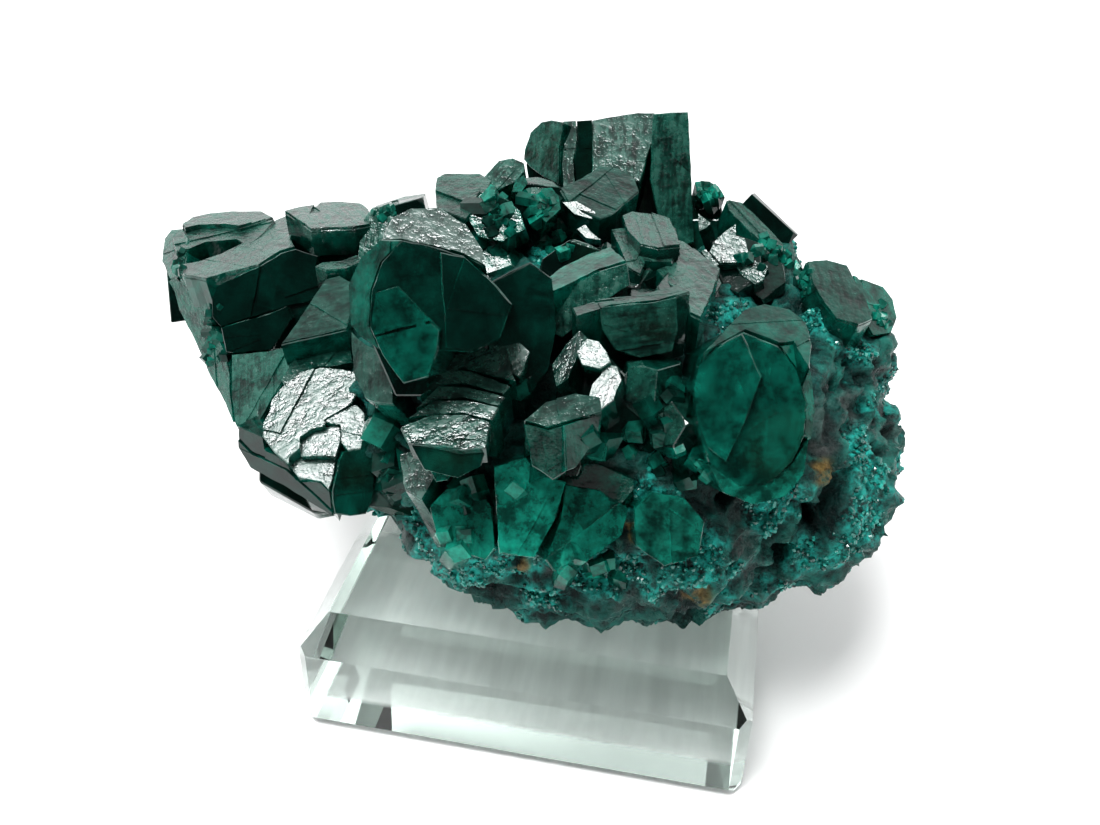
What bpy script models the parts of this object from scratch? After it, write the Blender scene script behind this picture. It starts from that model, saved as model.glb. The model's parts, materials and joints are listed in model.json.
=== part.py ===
"""Dioptase specimen on a clear display block.

Two pieces: the specimen, which is its dark green crystals grown together with the rock
under them, and the square chamfered block that it rests on. Metres, +Z up, origin at
the centre of the block's underside.
"""

import math
import random
from collections import namedtuple

import bmesh
import bpy
from mathutils import Matrix, Vector, noise

MM = 0.001

# Display block
BLOCK_SIDE = 50 * MM
BLOCK_HEIGHT = 15 * MM
TOP_CHAMFER_IN = 3.2 * MM
TOP_CHAMFER_DOWN = 4.1 * MM
CORNER_CHAMFER = 1.3 * MM
FOOT_CHAMFER = 1.2 * MM
REST_GAP = 0.3 * MM

# Crystals: the tip faces of dioptase lean this far from the length of the crystal
TIP_FACE_LEAN = math.radians(51)
HEXAGON_RADIUS = 1 / math.cos(math.radians(30))

# Rock: the roughness that is laid over its lumps
ROCK_NOISE_SIZE = 7 * MM
ROCK_NOISE_DEPTH = 1.6 * MM
ROCK_NOISE_FALLOFF = 0.8
ROCK_NOISE_GAP = 2.0
ROCK_NOISE_LAYERS = 3

# Colours, red, green and blue, and how rough each surface is
CRYSTAL_COLOUR = (0.01, 0.16, 0.11)
CRYSTAL_ROUGHNESS = 0.15
GLASS_COLOUR = (0.86, 0.92, 0.88)
GLASS_ROUGHNESS = 0.05

# A crystal runs back from its tip along -axis. One side face looks along face.
# size is (across that face's pair, across the corners, length) in millimetres.
# cuts are broken or bevelled corners: (direction as face, side, axis; distance from the tip).
Crystal = namedtuple("Crystal", "name tip axis face size pointed cuts", defaults=(False, ()))

CRYSTALS = (
    # The tall prism at the back, and the plates that step down in front of it
    Crystal("top_prism", (-0.1, 22.4, 57), (-0.11, 0.54, 0.84), (0.1, -0.83, 0.54), (14, 19.5, 34),
            cuts=(((0, -0.86, 0.51), 6.2),)),
    Crystal("upper_plate", (1.7, 8.4, 53.9), (-0.2, -0.09, 0.98), (0.98, 0.19, 0.2), (8, 9.5, 9)),
    Crystal("step_plate", (8.3, 1.6, 52.8), (-0.13, -0.13, 0.98), (0.98, 0.19, 0.1), (5.5, 7, 2)),
    Crystal("low_plate", (7.4, 0.1, 50.9), (-0.13, -0.13, 0.98), (0.98, 0.19, 0.1), (7, 9, 8)),
    Crystal("grey_slope", (13, -4, 50.4), (0.35, -0.06, 0.94), (0.86, -0.16, -0.2), (6, 14, 12)),
    Crystal("back_shoulder", (-12.8, 3.9, 54.7), (-0.1, -0.27, 0.96), (0.98, 0.19, 0), (6, 7, 14)),
    Crystal("emerald_tip_left", (-8.7, -1, 57), (-0.25, 0.11, 0.96), (0.98, 0.19, 0), (6, 7, 14), True),
    Crystal("emerald_tip_right", (-5.5, 5, 56.5), (0.23, 0.29, 0.93), (0.98, 0.19, 0), (5, 6, 14), True),
    Crystal("beside_prism", (-4.8, 6.8, 55.2), (0.08, 0.03, 1), (0.98, 0.19, 0), (5, 5, 12)),
    Crystal("behind_giant", (-20.9, 6.9, 51.5), (-0.29, 0.16, 0.94), (0.98, 0.19, 0), (6, 8, 12)),
    Crystal("left_of_prism", (-10.3, 16.6, 52.5), (-0.09, 0.36, 0.93), (0.98, 0.19, 0), (6, 7, 14), True),
    # The crystals that point towards the front
    Crystal("front_left_giant", (-7.4, -28.3, 57.3), (0.2, -0.85, 0.5), (-0.13, 0.53, 0.84),
            (14.5, 12.5, 25)),
    Crystal("front_middle", (3.2, -11.6, 54.5), (0.24, -0.27, 0.93), (0.98, 0.19, 0), (8, 9, 16)),
    Crystal("front_olive", (8.5, -16.6, 54.3), (0.09, -0.33, 0.94), (0.98, 0.19, 0), (9, 7, 16)),
    Crystal("front_ledge", (6.4, -21, 51), (-0.03, 0.04, 1), (0.98, 0.19, 0), (8, 8, 8)),
    Crystal("front_cube", (4.2, -28, 48.6), (0.1, -0.2, 0.97), (0.98, 0.4, 0), (6.5, 7, 7)),
    Crystal("front_stack_top", (-5, -25, 52), (0.15, 0.07, 0.99), (0.98, 0.19, 0), (6, 6, 14)),
    Crystal("front_stack_middle", (-4.6, -27.5, 50.6), (0.15, 0.07, 0.99), (0.98, 0.19, 0), (7, 6, 13)),
    Crystal("front_stack_low", (-4, -29, 48.2), (0.15, 0.07, 0.99), (0.98, 0.19, 0), (7, 5, 11)),
    Crystal("front_gap_right", (11.9, -21, 50.3), (0.2, -0.59, 0.78), (0.98, 0.19, 0), (5, 8, 14), True),
    Crystal("front_gap_low", (15, -23.5, 47), (0.14, -0.77, 0.63), (-0.13, 0.53, 0.84), (6, 7, 14), True),
    Crystal("front_right_giant", (20.8, -24.7, 50), (0.26, -0.87, 0.42), (-0.13, 0.53, 0.84),
            (14.5, 9.5, 17)),
    # The smaller green crystals below the giants
    Crystal("low_green_a", (-6.7, -27.4, 40.7), (-0.15, -0.84, 0.51), (0.98, 0.19, 0), (8, 9, 16), True),
    Crystal("low_green_b", (-2.6, -28.5, 36.5), (0.07, -0.93, 0.36), (0.98, 0.19, 0), (7, 8, 16), True),
    Crystal("low_green_c", (-8.9, -25.5, 32.7), (-0.23, -0.95, 0.21), (0.98, 0.19, 0), (7, 8, 16), True),
    Crystal("low_green_d", (2, -29, 39.5), (0.16, -0.87, 0.46), (0.98, 0.19, 0), (6, 7, 16), True),
    Crystal("low_green_e", (8.1, -27.5, 39), (0.27, -0.89, 0.36), (0.98, 0.19, 0), (8, 7, 16), True),
    # The long bundle that leans out to the left
    Crystal("left_top_plate", (-42, 6.8, 46.8), (-0.08, 0.2, 0.97), (0.98, 0.19, 0), (10.5, 6, 3)),
    Crystal("left_ledge", (-42.5, 3.5, 44.6), (-0.08, 0.1, 0.99), (0.98, 0.19, 0), (12, 12, 8)),
    Crystal("left_rear_plate", (-29.2, 7.7, 48.5), (-0.08, 0.26, 0.96), (0.98, 0.19, 0), (10, 5, 6)),
    Crystal("left_prism", (-41.7, -6.2, 38), (-0.82, -0.48, -0.32), (0.15, -0.82, 0.55), (12, 15, 20)),
    Crystal("left_second", (-34.4, -10.7, 36.7), (-0.82, -0.48, -0.32), (0.15, -0.82, 0.55), (10, 12, 26)),
    Crystal("left_bright", (-22.3, -19, 37.5), (0.09, -0.58, 0.81), (0.98, 0.19, 0.02), (14.5, 14, 13),
            cuts=(((-0.75, -0.1, 0.65), 3.6), ((-0.45, -0.6, 0.66), 4.3), ((0.5, -0.5, 0.7), 3.5),
                  ((0.7, 0.1, 0.7), 3.3))),
    Crystal("left_inner", (-23.5, -11, 46), (-0.15, -0.45, 0.88), (0.98, 0.19, 0), (7, 8, 14)),
    Crystal("left_standing", (-16, -21.5, 44), (-0.39, -0.69, 0.62), (-0.13, 0.53, 0.84), (9, 6, 16)),
    # The right shoulder
    Crystal("mica_face", (17.2, 5.6, 49.1), (-0.18, -0.51, 0.84), (0.98, 0.19, 0), (6, 8, 12)),
    Crystal("mica_step", (20.5, 6.4, 47.5), (0.29, -0.52, 0.8), (0.98, 0.19, 0), (5, 7, 12)),
    Crystal("right_log", (22.4, 13.9, 47.4), (0.79, -0.32, -0.52), (0.15, -0.82, 0.55), (4.5, 5, 9.5)),
    Crystal("right_rear_tip", (12.4, 23, 50.4), (0, 0.46, 0.89), (0.15, -0.82, 0.55), (5, 6, 16), True),
    Crystal("right_rear_low", (14.7, 19.4, 50), (0.43, 0.37, 0.82), (0.15, -0.82, 0.55), (6, 6, 14), True),
    Crystal("right_shoulder", (27.4, 8.9, 45.9), (0.07, 0.06, 1), (0.98, 0.19, 0), (7, 10, 14)),
    Crystal("right_edge", (33.6, 14.2, 41.7), (0.31, 0.39, 0.87), (0.98, 0.19, 0), (7, 8, 14), True),
    Crystal("right_edge_low", (36, 12, 38.5), (0.78, 0.27, 0.57), (0.98, 0.19, 0), (7, 7, 14), True),
)

# Rock lumps: centre and half sizes in millimetres
Lump = namedtuple("Lump", "name centre half")

ROCK = (
    Lump("rock_core", (4, 1, 31), (30, 19, 11)),
    Lump("rock_foot", (8, -3.5, 24), (23.5, 17, 13)),
    Lump("rock_front", (4.5, -15.5, 29), (19.5, 10, 13)),
    Lump("rock_right", (26, 0.5, 27.5), (12.2, 16, 13)),
    Lump("rock_left", (-16, -6, 34), (16, 11, 9)),
    Lump("rock_shoulder", (18, 13, 38), (11, 9, 9.5)),
)

# Small crystals that cover the rock: their tips lie near this rounded crust
CRUST_CENTRE = (2, -2, 34)
CRUST_HALF = (33, 23.5, 17.5)
CRUST_COUNT = 90
CRUST_LOWEST = math.radians(-12)
CRUST_HIGHEST = math.radians(80)
CRUST_SEED = 11
CRUST_LEAN = 0.45
CRUST_ACROSS = (4.5, 7.5)
CRUST_WIDENING = (1, 1.3)
CRUST_LENGTH = 12
CRUST_POINTED_SHARE = 0.6


def make_collection(name, parent):
    collection = bpy.data.collections.new(name)
    parent.children.link(collection)
    return collection


def make_material(name, colour, roughness):
    """A Principled material of a see-through mineral or glass, which is not metallic."""
    material = bpy.data.materials.new(name)
    material.use_nodes = True
    shader = material.node_tree.nodes["Principled BSDF"]
    shader.inputs["Base Color"].default_value = (*colour, 1)
    shader.inputs["Roughness"].default_value = roughness
    shader.inputs["Metallic"].default_value = 0.0
    return material


def add_object(name, form, collection, material=None):
    mesh = bpy.data.meshes.new(name)
    form.to_mesh(mesh)
    form.free()
    if material:
        mesh.materials.append(material)
    piece = bpy.data.objects.new(name, mesh)
    collection.objects.link(piece)
    return piece


def slice_off(form, point, normal):
    """Cut away what lies beyond the plane and close the cut."""
    geometry = form.verts[:] + form.edges[:] + form.faces[:]
    bmesh.ops.bisect_plane(form, geom=geometry, dist=1e-7, plane_co=point, plane_no=normal,
                           clear_outer=True)
    rim = [edge for edge in form.edges if edge.is_boundary]
    if rim:
        bmesh.ops.contextual_create(form, geom=rim)


def crystal_form(crystal):
    """A six-sided prism with its tip at the origin, then turned and moved to its place."""
    across, wide, length = (value * MM for value in crystal.size)
    form = bmesh.new()
    bmesh.ops.create_cone(form, cap_ends=True, segments=6, radius1=HEXAGON_RADIUS,
                          radius2=HEXAGON_RADIUS, depth=length)
    bmesh.ops.scale(form, vec=(across / 2, wide / 2 / HEXAGON_RADIUS, 1), verts=form.verts)
    bmesh.ops.translate(form, vec=(0, 0, -length / 2), verts=form.verts)
    if crystal.pointed:
        for corner in (90, 210, 330):
            around = math.radians(corner)
            lean = math.sin(TIP_FACE_LEAN)
            normal = Vector((lean * math.cos(around), lean * math.sin(around), math.cos(TIP_FACE_LEAN)))
            slice_off(form, Vector(), normal)
    for direction, distance in crystal.cuts:
        normal = Vector(direction).normalized()
        slice_off(form, normal * distance * MM, normal)
    axis = Vector(crystal.axis).normalized()
    side = axis.cross(Vector(crystal.face)).normalized()
    face = side.cross(axis)
    turn = Matrix((face, side, axis)).transposed().to_4x4()
    form.transform(Matrix.Translation(Vector(crystal.tip) * MM) @ turn)
    return form


def crust_crystals():
    """Small crystals in a spiral round the crust, each leaning its own way."""
    chance = random.Random(CRUST_SEED)
    turn = math.pi * (3 - math.sqrt(5))
    for number in range(CRUST_COUNT):
        share = (number + 0.5) / CRUST_COUNT
        rise = math.asin(math.sin(CRUST_LOWEST) + share * (math.sin(CRUST_HIGHEST) - math.sin(CRUST_LOWEST)))
        around = number * turn
        level = math.cos(rise)
        outward = Vector((level * math.cos(around), level * math.sin(around), math.sin(rise)))
        tip = [middle + half * value for middle, half, value in zip(CRUST_CENTRE, CRUST_HALF, outward)]
        lean = Vector([chance.uniform(-CRUST_LEAN, CRUST_LEAN) for _ in range(3)])
        face = Vector([chance.uniform(-1, 1) for _ in range(3)])
        across = chance.uniform(*CRUST_ACROSS)
        size = (across, across * chance.uniform(*CRUST_WIDENING), CRUST_LENGTH)
        pointed = chance.random() < CRUST_POINTED_SHARE
        yield Crystal(f"crust_{number:02d}", tip, outward + lean, face, size, pointed)


def rock_form(lump):
    """A rounded lump with a rough surface."""
    form = bmesh.new()
    bmesh.ops.create_icosphere(form, subdivisions=4, radius=1)
    centre = Vector(lump.centre) * MM
    for corner in form.verts:
        outward = corner.co.copy()
        place = centre + Vector(half * MM * value for half, value in zip(lump.half, outward))
        rough = noise.fractal(place / ROCK_NOISE_SIZE, ROCK_NOISE_FALLOFF, ROCK_NOISE_GAP, ROCK_NOISE_LAYERS)
        corner.co = place + outward * rough * ROCK_NOISE_DEPTH
    slice_off(form, Vector((0, 0, BLOCK_HEIGHT + REST_GAP)), Vector((0, 0, -1)))
    return form


def make_block(collection):
    """The block: a cube whose edges are sliced back to chamfers."""
    form = bmesh.new()
    bmesh.ops.create_cube(form, size=1)
    bmesh.ops.scale(form, vec=(BLOCK_SIDE, BLOCK_SIDE, BLOCK_HEIGHT), verts=form.verts)
    bmesh.ops.translate(form, vec=(0, 0, BLOCK_HEIGHT / 2), verts=form.verts)
    half = BLOCK_SIDE / 2
    for quarter in range(4):
        turn = Matrix.Rotation(quarter * math.pi / 2, 3, "Z")
        corner = Vector((half - CORNER_CHAMFER, half, 0))
        slice_off(form, turn @ corner, turn @ Vector((1, 1, 0)))
        top = Vector((half, 0, BLOCK_HEIGHT - TOP_CHAMFER_DOWN))
        slice_off(form, turn @ top, turn @ Vector((TOP_CHAMFER_DOWN, 0, TOP_CHAMFER_IN)))
        foot = Vector((half, 0, FOOT_CHAMFER))
        slice_off(form, turn @ foot, turn @ Vector((1, 0, -1)))
    glass = make_material("clear_glass", GLASS_COLOUR, GLASS_ROUGHNESS)
    return add_object("glass_block", form, collection, glass)


def join_solids(name, solids, collection):
    """One object that is the union of all the solids, which stay hidden as guides."""
    for solid in solids:
        solid.hide_render = True
        solid.display_type = "WIRE"
    start = solids[0].copy()
    start.data = solids[0].data.copy()
    bpy.context.scene.collection.objects.link(start)
    join = start.modifiers.new("grown_together", "BOOLEAN")
    join.operation = "UNION"
    join.solver = "EXACT"
    join.operand_type = "COLLECTION"
    join.collection = collection
    view = bpy.context.evaluated_depsgraph_get()
    mesh = bpy.data.meshes.new_from_object(start.evaluated_get(view))
    bpy.data.objects.remove(start)
    mesh.name = name
    return mesh


def islands(form):
    """The groups of faces that hang together."""
    left = set(form.faces)
    while left:
        group = set()
        front = [left.pop()]
        while front:
            face = front.pop()
            group.add(face)
            for edge in face.edges:
                for neighbour in edge.link_faces:
                    if neighbour in left:
                        left.remove(neighbour)
                        front.append(neighbour)
        yield group


def keep_outer_skin(mesh):
    """Drop the skins of gaps that are shut in between the crystals: those are solid here."""
    form = bmesh.new()
    form.from_mesh(mesh)
    skins = sorted(islands(form), key=len)
    inner = [face for skin in skins[:-1] for face in skin]
    bmesh.ops.delete(form, geom=inner, context="FACES")
    form.to_mesh(mesh)
    form.free()


def make_specimen(collection, growth):
    """The specimen: every crystal and lump of rock joined into one solid."""
    solids = [add_object(lump.name, rock_form(lump), growth) for lump in ROCK]
    crystals = [*CRYSTALS, *crust_crystals()]
    solids += [add_object(crystal.name, crystal_form(crystal), growth) for crystal in crystals]
    mesh = join_solids("dioptase_cluster", solids, growth)
    keep_outer_skin(mesh)
    mesh.materials.clear()
    mesh.materials.append(make_material("dioptase_green", CRYSTAL_COLOUR, CRYSTAL_ROUGHNESS))
    specimen = bpy.data.objects.new("dioptase_cluster", mesh)
    collection.objects.link(specimen)


def build():
    for item in list(bpy.data.objects):
        bpy.data.objects.remove(item)
    scene = bpy.context.scene.collection
    parts = make_collection("dioptase_specimen", scene)
    growth = make_collection("growth_solids", scene)
    make_block(parts)
    make_specimen(parts, growth)


build()
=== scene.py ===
"""Looks of the dioptase specimen on its clear block: crystals, rock, glass, light and camera."""
import json
import math
import random
from collections import namedtuple

import bmesh
import bpy
from mathutils import Euler, Matrix, Quaternion, Vector, noise
from mathutils.bvhtree import BVHTree

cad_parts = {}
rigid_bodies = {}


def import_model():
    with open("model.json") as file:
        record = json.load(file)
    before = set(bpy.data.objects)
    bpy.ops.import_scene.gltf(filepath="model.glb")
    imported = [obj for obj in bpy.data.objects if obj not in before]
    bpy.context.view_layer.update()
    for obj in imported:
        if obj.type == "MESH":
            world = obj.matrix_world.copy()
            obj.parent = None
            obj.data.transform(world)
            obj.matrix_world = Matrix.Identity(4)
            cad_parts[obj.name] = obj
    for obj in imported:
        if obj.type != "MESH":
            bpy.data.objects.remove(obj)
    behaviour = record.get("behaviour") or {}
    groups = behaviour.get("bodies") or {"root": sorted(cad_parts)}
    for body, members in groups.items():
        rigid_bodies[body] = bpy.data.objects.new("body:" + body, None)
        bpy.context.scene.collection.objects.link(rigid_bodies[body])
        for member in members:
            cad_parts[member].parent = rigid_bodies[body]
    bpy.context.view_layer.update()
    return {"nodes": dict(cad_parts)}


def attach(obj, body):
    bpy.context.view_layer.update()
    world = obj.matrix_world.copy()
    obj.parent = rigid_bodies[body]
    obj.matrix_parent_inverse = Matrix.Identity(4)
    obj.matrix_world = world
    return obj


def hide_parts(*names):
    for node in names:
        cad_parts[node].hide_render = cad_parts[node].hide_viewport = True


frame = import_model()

MM = 0.001

# Camera, as the photograph was taken. Image points are in the photograph's own 1100 x 825 pixels.
CAMERA_PLACE = Vector((17.27, -105.07, 99.94))
CAMERA_TURN = [math.radians(angle) for angle in (56.8818, -1.4325, 11.1574)]
CAMERA_SENSOR = 36
IMAGE_WIDTH = 1100
IMAGE_HEIGHT = 825
FOCAL_PIXELS = 1099.5
CAMERA_MATRIX = Euler(CAMERA_TURN, "XYZ").to_matrix()

# Crystals
TIP_FACE_LEAN = math.radians(51)
HEXAGON_RADIUS = 1 / math.cos(math.radians(30))

# A crystal runs back from its tip along -axis. One side face looks along face.
# size is (across that face's pair, across the corners, length) in millimetres.
# cuts are broken or bevelled corners: (direction as face, side, axis; distance from the tip).
Crystal = namedtuple("Crystal", "name tip axis face size pointed cuts", defaults=(False, ()))

CRYSTALS = (
    # The tall prism at the back, and the plates that step down in front of it
    Crystal("top_prism", (-0.1, 22.4, 57), (-0.11, 0.54, 0.84), (0.1, -0.83, 0.54), (14, 19.5, 34),
            cuts=(((0, -0.86, 0.51), 6.2),)),
    Crystal("upper_plate", (1.7, 8.4, 53.9), (-0.2, -0.09, 0.98), (0.98, 0.19, 0.2), (8, 9.5, 9)),
    Crystal("step_plate", (8.3, 1.6, 52.8), (-0.13, -0.13, 0.98), (0.98, 0.19, 0.1), (5.5, 7, 2)),
    Crystal("low_plate", (7.4, 0.1, 50.9), (-0.13, -0.13, 0.98), (0.98, 0.19, 0.1), (7, 9, 8)),
    Crystal("grey_slope", (13, -4, 50.4), (0.35, -0.06, 0.94), (0.86, -0.16, -0.2), (6, 14, 12)),
    Crystal("back_shoulder", (-12.8, 3.9, 54.7), (-0.1, -0.27, 0.96), (0.98, 0.19, 0), (6, 7, 14)),
    Crystal("emerald_tip_left", (-8.7, 1, 54.5), (-0.25, 0.11, 0.96), (0.98, 0.19, 0), (6, 7, 14)),
    Crystal("emerald_tip_right", (-5.5, 5, 56.5), (0.23, 0.29, 0.93), (0.98, 0.19, 0), (5, 6, 14), True),
    Crystal("beside_prism", (-4.8, 6.8, 55.2), (0.08, 0.03, 1), (0.98, 0.19, 0), (5, 5, 12)),
    Crystal("behind_giant", (-20.9, 6.9, 51.5), (-0.29, 0.16, 0.94), (0.98, 0.19, 0), (6, 8, 12)),
    Crystal("left_of_prism", (-10.3, 16.6, 52.5), (-0.09, 0.36, 0.93), (0.98, 0.19, 0), (6, 7, 14), True),
    # The crystals that point towards the front
    Crystal("front_left_giant", (-7.4, -28.3, 57.3), (0.2, -0.85, 0.5), (-0.13, 0.53, 0.84), (14.5, 12.5, 25)),
    Crystal("front_middle", (3.2, -11.6, 54.5), (0.24, -0.27, 0.93), (0.98, 0.19, 0), (8, 9, 16)),
    Crystal("front_olive", (8.5, -16.6, 54.3), (0.09, -0.33, 0.94), (0.98, 0.19, 0), (9, 7, 16)),
    Crystal("front_ledge", (6.4, -21, 51), (-0.03, 0.04, 1), (0.98, 0.19, 0), (8, 8, 8)),
    Crystal("front_cube", (4.2, -27, 48), (0.1, -0.2, 0.97), (0.98, 0.4, 0), (4.8, 5.2, 7)),
    Crystal("front_stack_top", (-5, -25, 52), (0.15, 0.07, 0.99), (0.98, 0.19, 0), (6, 6, 14)),
    Crystal("front_stack_middle", (-4.6, -26.5, 50), (0.15, 0.07, 0.99), (0.98, 0.19, 0), (6, 5, 13)),
    Crystal("front_stack_low", (-4, -27.6, 47.4), (0.15, 0.07, 0.99), (0.98, 0.19, 0), (5.2, 3.8, 11)),
    Crystal("front_gap_right", (11.9, -21, 50.3), (0.2, -0.59, 0.78), (0.98, 0.19, 0), (5, 8, 14), True),
    Crystal("front_gap_low", (15, -23.5, 47), (0.14, -0.77, 0.63), (-0.13, 0.53, 0.84), (6, 7, 14), True),
    Crystal("front_right_giant", (20.8, -24.7, 50), (0.26, -0.87, 0.42), (-0.13, 0.53, 0.84), (14.5, 9.5, 17)),
    # The smaller green crystals below the giants
    Crystal("low_green_a", (-6.7, -27.4, 40.7), (-0.15, -0.84, 0.51), (0.98, 0.19, 0), (8, 9, 16), True),
    Crystal("low_green_b", (-2.6, -28.5, 36.5), (0.07, -0.93, 0.36), (0.98, 0.19, 0), (7, 8, 16), True),
    Crystal("low_green_c", (-8.9, -25.5, 32.7), (-0.23, -0.95, 0.21), (0.98, 0.19, 0), (7, 8, 16), True),
    Crystal("low_green_d", (2, -29, 39.5), (0.16, -0.87, 0.46), (0.98, 0.19, 0), (6, 7, 16), True),
    Crystal("low_green_e", (8.1, -27.5, 39), (0.27, -0.89, 0.36), (0.98, 0.19, 0), (8, 7, 16), True),
    # The long bundle that leans out to the left
    Crystal("left_top_plate", (-42, 6.8, 46.8), (-0.08, 0.2, 0.97), (0.98, 0.19, 0), (10.5, 6, 3)),
    Crystal("left_ledge", (-42.5, 3.5, 44.6), (-0.08, 0.1, 0.99), (0.98, 0.19, 0), (12, 12, 8)),
    Crystal("left_rear_plate", (-29.2, 7.7, 48.5), (-0.08, 0.26, 0.96), (0.98, 0.19, 0), (10, 5, 6)),
    Crystal("left_prism", (-41, -5.8, 38.3),(-0.82, -0.48, -0.32), (0.15, -0.82, 0.55), (12, 15, 20)),
    Crystal("left_second", (-34.4, -10.7, 36.7), (-0.82, -0.48, -0.32), (0.15, -0.82, 0.55), (10, 12, 26)),
    Crystal("left_bright", (-22.3, -19, 37.5), (0.09, -0.58, 0.81), (0.98, 0.19, 0.02), (14.5, 14, 13),
            cuts=(((-0.75, -0.1, 0.65), 3.6), ((-0.45, -0.6, 0.66), 4.3), ((0.5, -0.5, 0.7), 3.5),
                  ((0.7, 0.1, 0.7), 3.3), ((0.2, -0.98, 0), 6.0))),
    Crystal("left_inner", (-23.5, -11, 46), (-0.15, -0.45, 0.88), (0.98, 0.19, 0), (7, 8, 14)),
    Crystal("left_standing", (-16, -21.5, 44), (-0.39, -0.69, 0.62), (-0.13, 0.53, 0.84), (9, 6, 16)),
    # The right shoulder
    Crystal("mica_face", (17.2, 5.6, 49.1), (-0.18, -0.51, 0.84), (0.98, 0.19, 0), (6, 8, 12)),
    Crystal("mica_step", (20.5, 6.4, 47.5), (0.29, -0.52, 0.8), (0.98, 0.19, 0), (5, 7, 12)),
    Crystal("right_log", (22.4, 13.9, 47.4), (0.79, -0.32, -0.52), (0.15, -0.82, 0.55), (4.5, 5, 7)),
    Crystal("right_rear_tip", (12.4, 23, 50.4), (0, 0.46, 0.89), (0.15, -0.82, 0.55), (5, 6, 16), True),
    Crystal("right_rear_low", (14.7, 19.4, 50), (0.43, 0.37, 0.82), (0.15, -0.82, 0.55), (6, 6, 14), True),
    Crystal("right_shoulder", (27.4, 8.9, 45.9), (0.07, 0.06, 1), (0.98, 0.19, 0), (7, 10, 14)),
    Crystal("right_edge", (33.6, 14.2, 41.7), (0.31, 0.39, 0.87), (0.98, 0.19, 0), (7, 8, 14), True),
    Crystal("right_edge_low", (36, 12, 38.5), (0.78, 0.27, 0.57), (0.98, 0.19, 0), (7, 7, 14), True),
)

# Small crystals that cover the rock: their tips lie near this rounded crust
CRUST_CENTRE = (2, -2, 34)
CRUST_HALF = (33, 23.5, 17.5)
CRUST_COUNT = 90
CRUST_LOWEST = math.radians(-12)
CRUST_HIGHEST = math.radians(80)
CRUST_SEED = 11

# The rock is bare on the side that looks this way, up to this height
BARE_SIDE = Vector((0.62, -0.78, 0)).normalized()
BARE_FROM = 0.05
BARE_HIGHEST = math.radians(48)

# Finishes of a face: how satin it is, how pale its frost is (partly the etch of the face, partly a
# painted sheen), how much painted emerald glow shows in the middle of it, and how much shows along
# its rim. The glow is bright green painted into the colour in place of light through thin crystal.
Finish = namedtuple("Finish", "satin frost glow rim")
GLASS = Finish(0.0, 0.0, 0.03, 0.03)
DEEP = Finish(0.02, 0.0, 0.08, 0.08)
SHADE = Finish(0.4, 0.04, 0.0, 0.1)
SATIN = Finish(0.75, 0.14, 0.0, 0.0)
ROUGH = Finish(0.8, 0.05, 0.1, 0.25)
# WHITE and SOFT paint much pale frost into the colour: partly etched frost, partly a painted highlight on faces
# that catch the softbox
WHITE = Finish(0.7, 0.42, 0.0, 0.0)
SOFT = Finish(0.35, 0.55, 0.0, 0.0)
# MURKY, EMERALD and DIM paint much emerald glow into the colour, in place of light through thin crystal
MURKY = Finish(0.1, 0.0, 0.16, 0.28)
EMERALD = Finish(0.2, 0.02, 0.65, 0.85)
DIM = Finish(0.2, 0.02, 0.3, 0.55)

# A slab is a flat face of the photograph and the body of crystal behind it: the distance of the face
# from the camera, the way that it faces as (right, up, towards the camera), its thickness, its
# finish, and its outline in image points.
Slab = namedtuple("Slab", "name depth facing thick finish outline steps", defaults=(3,))

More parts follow.
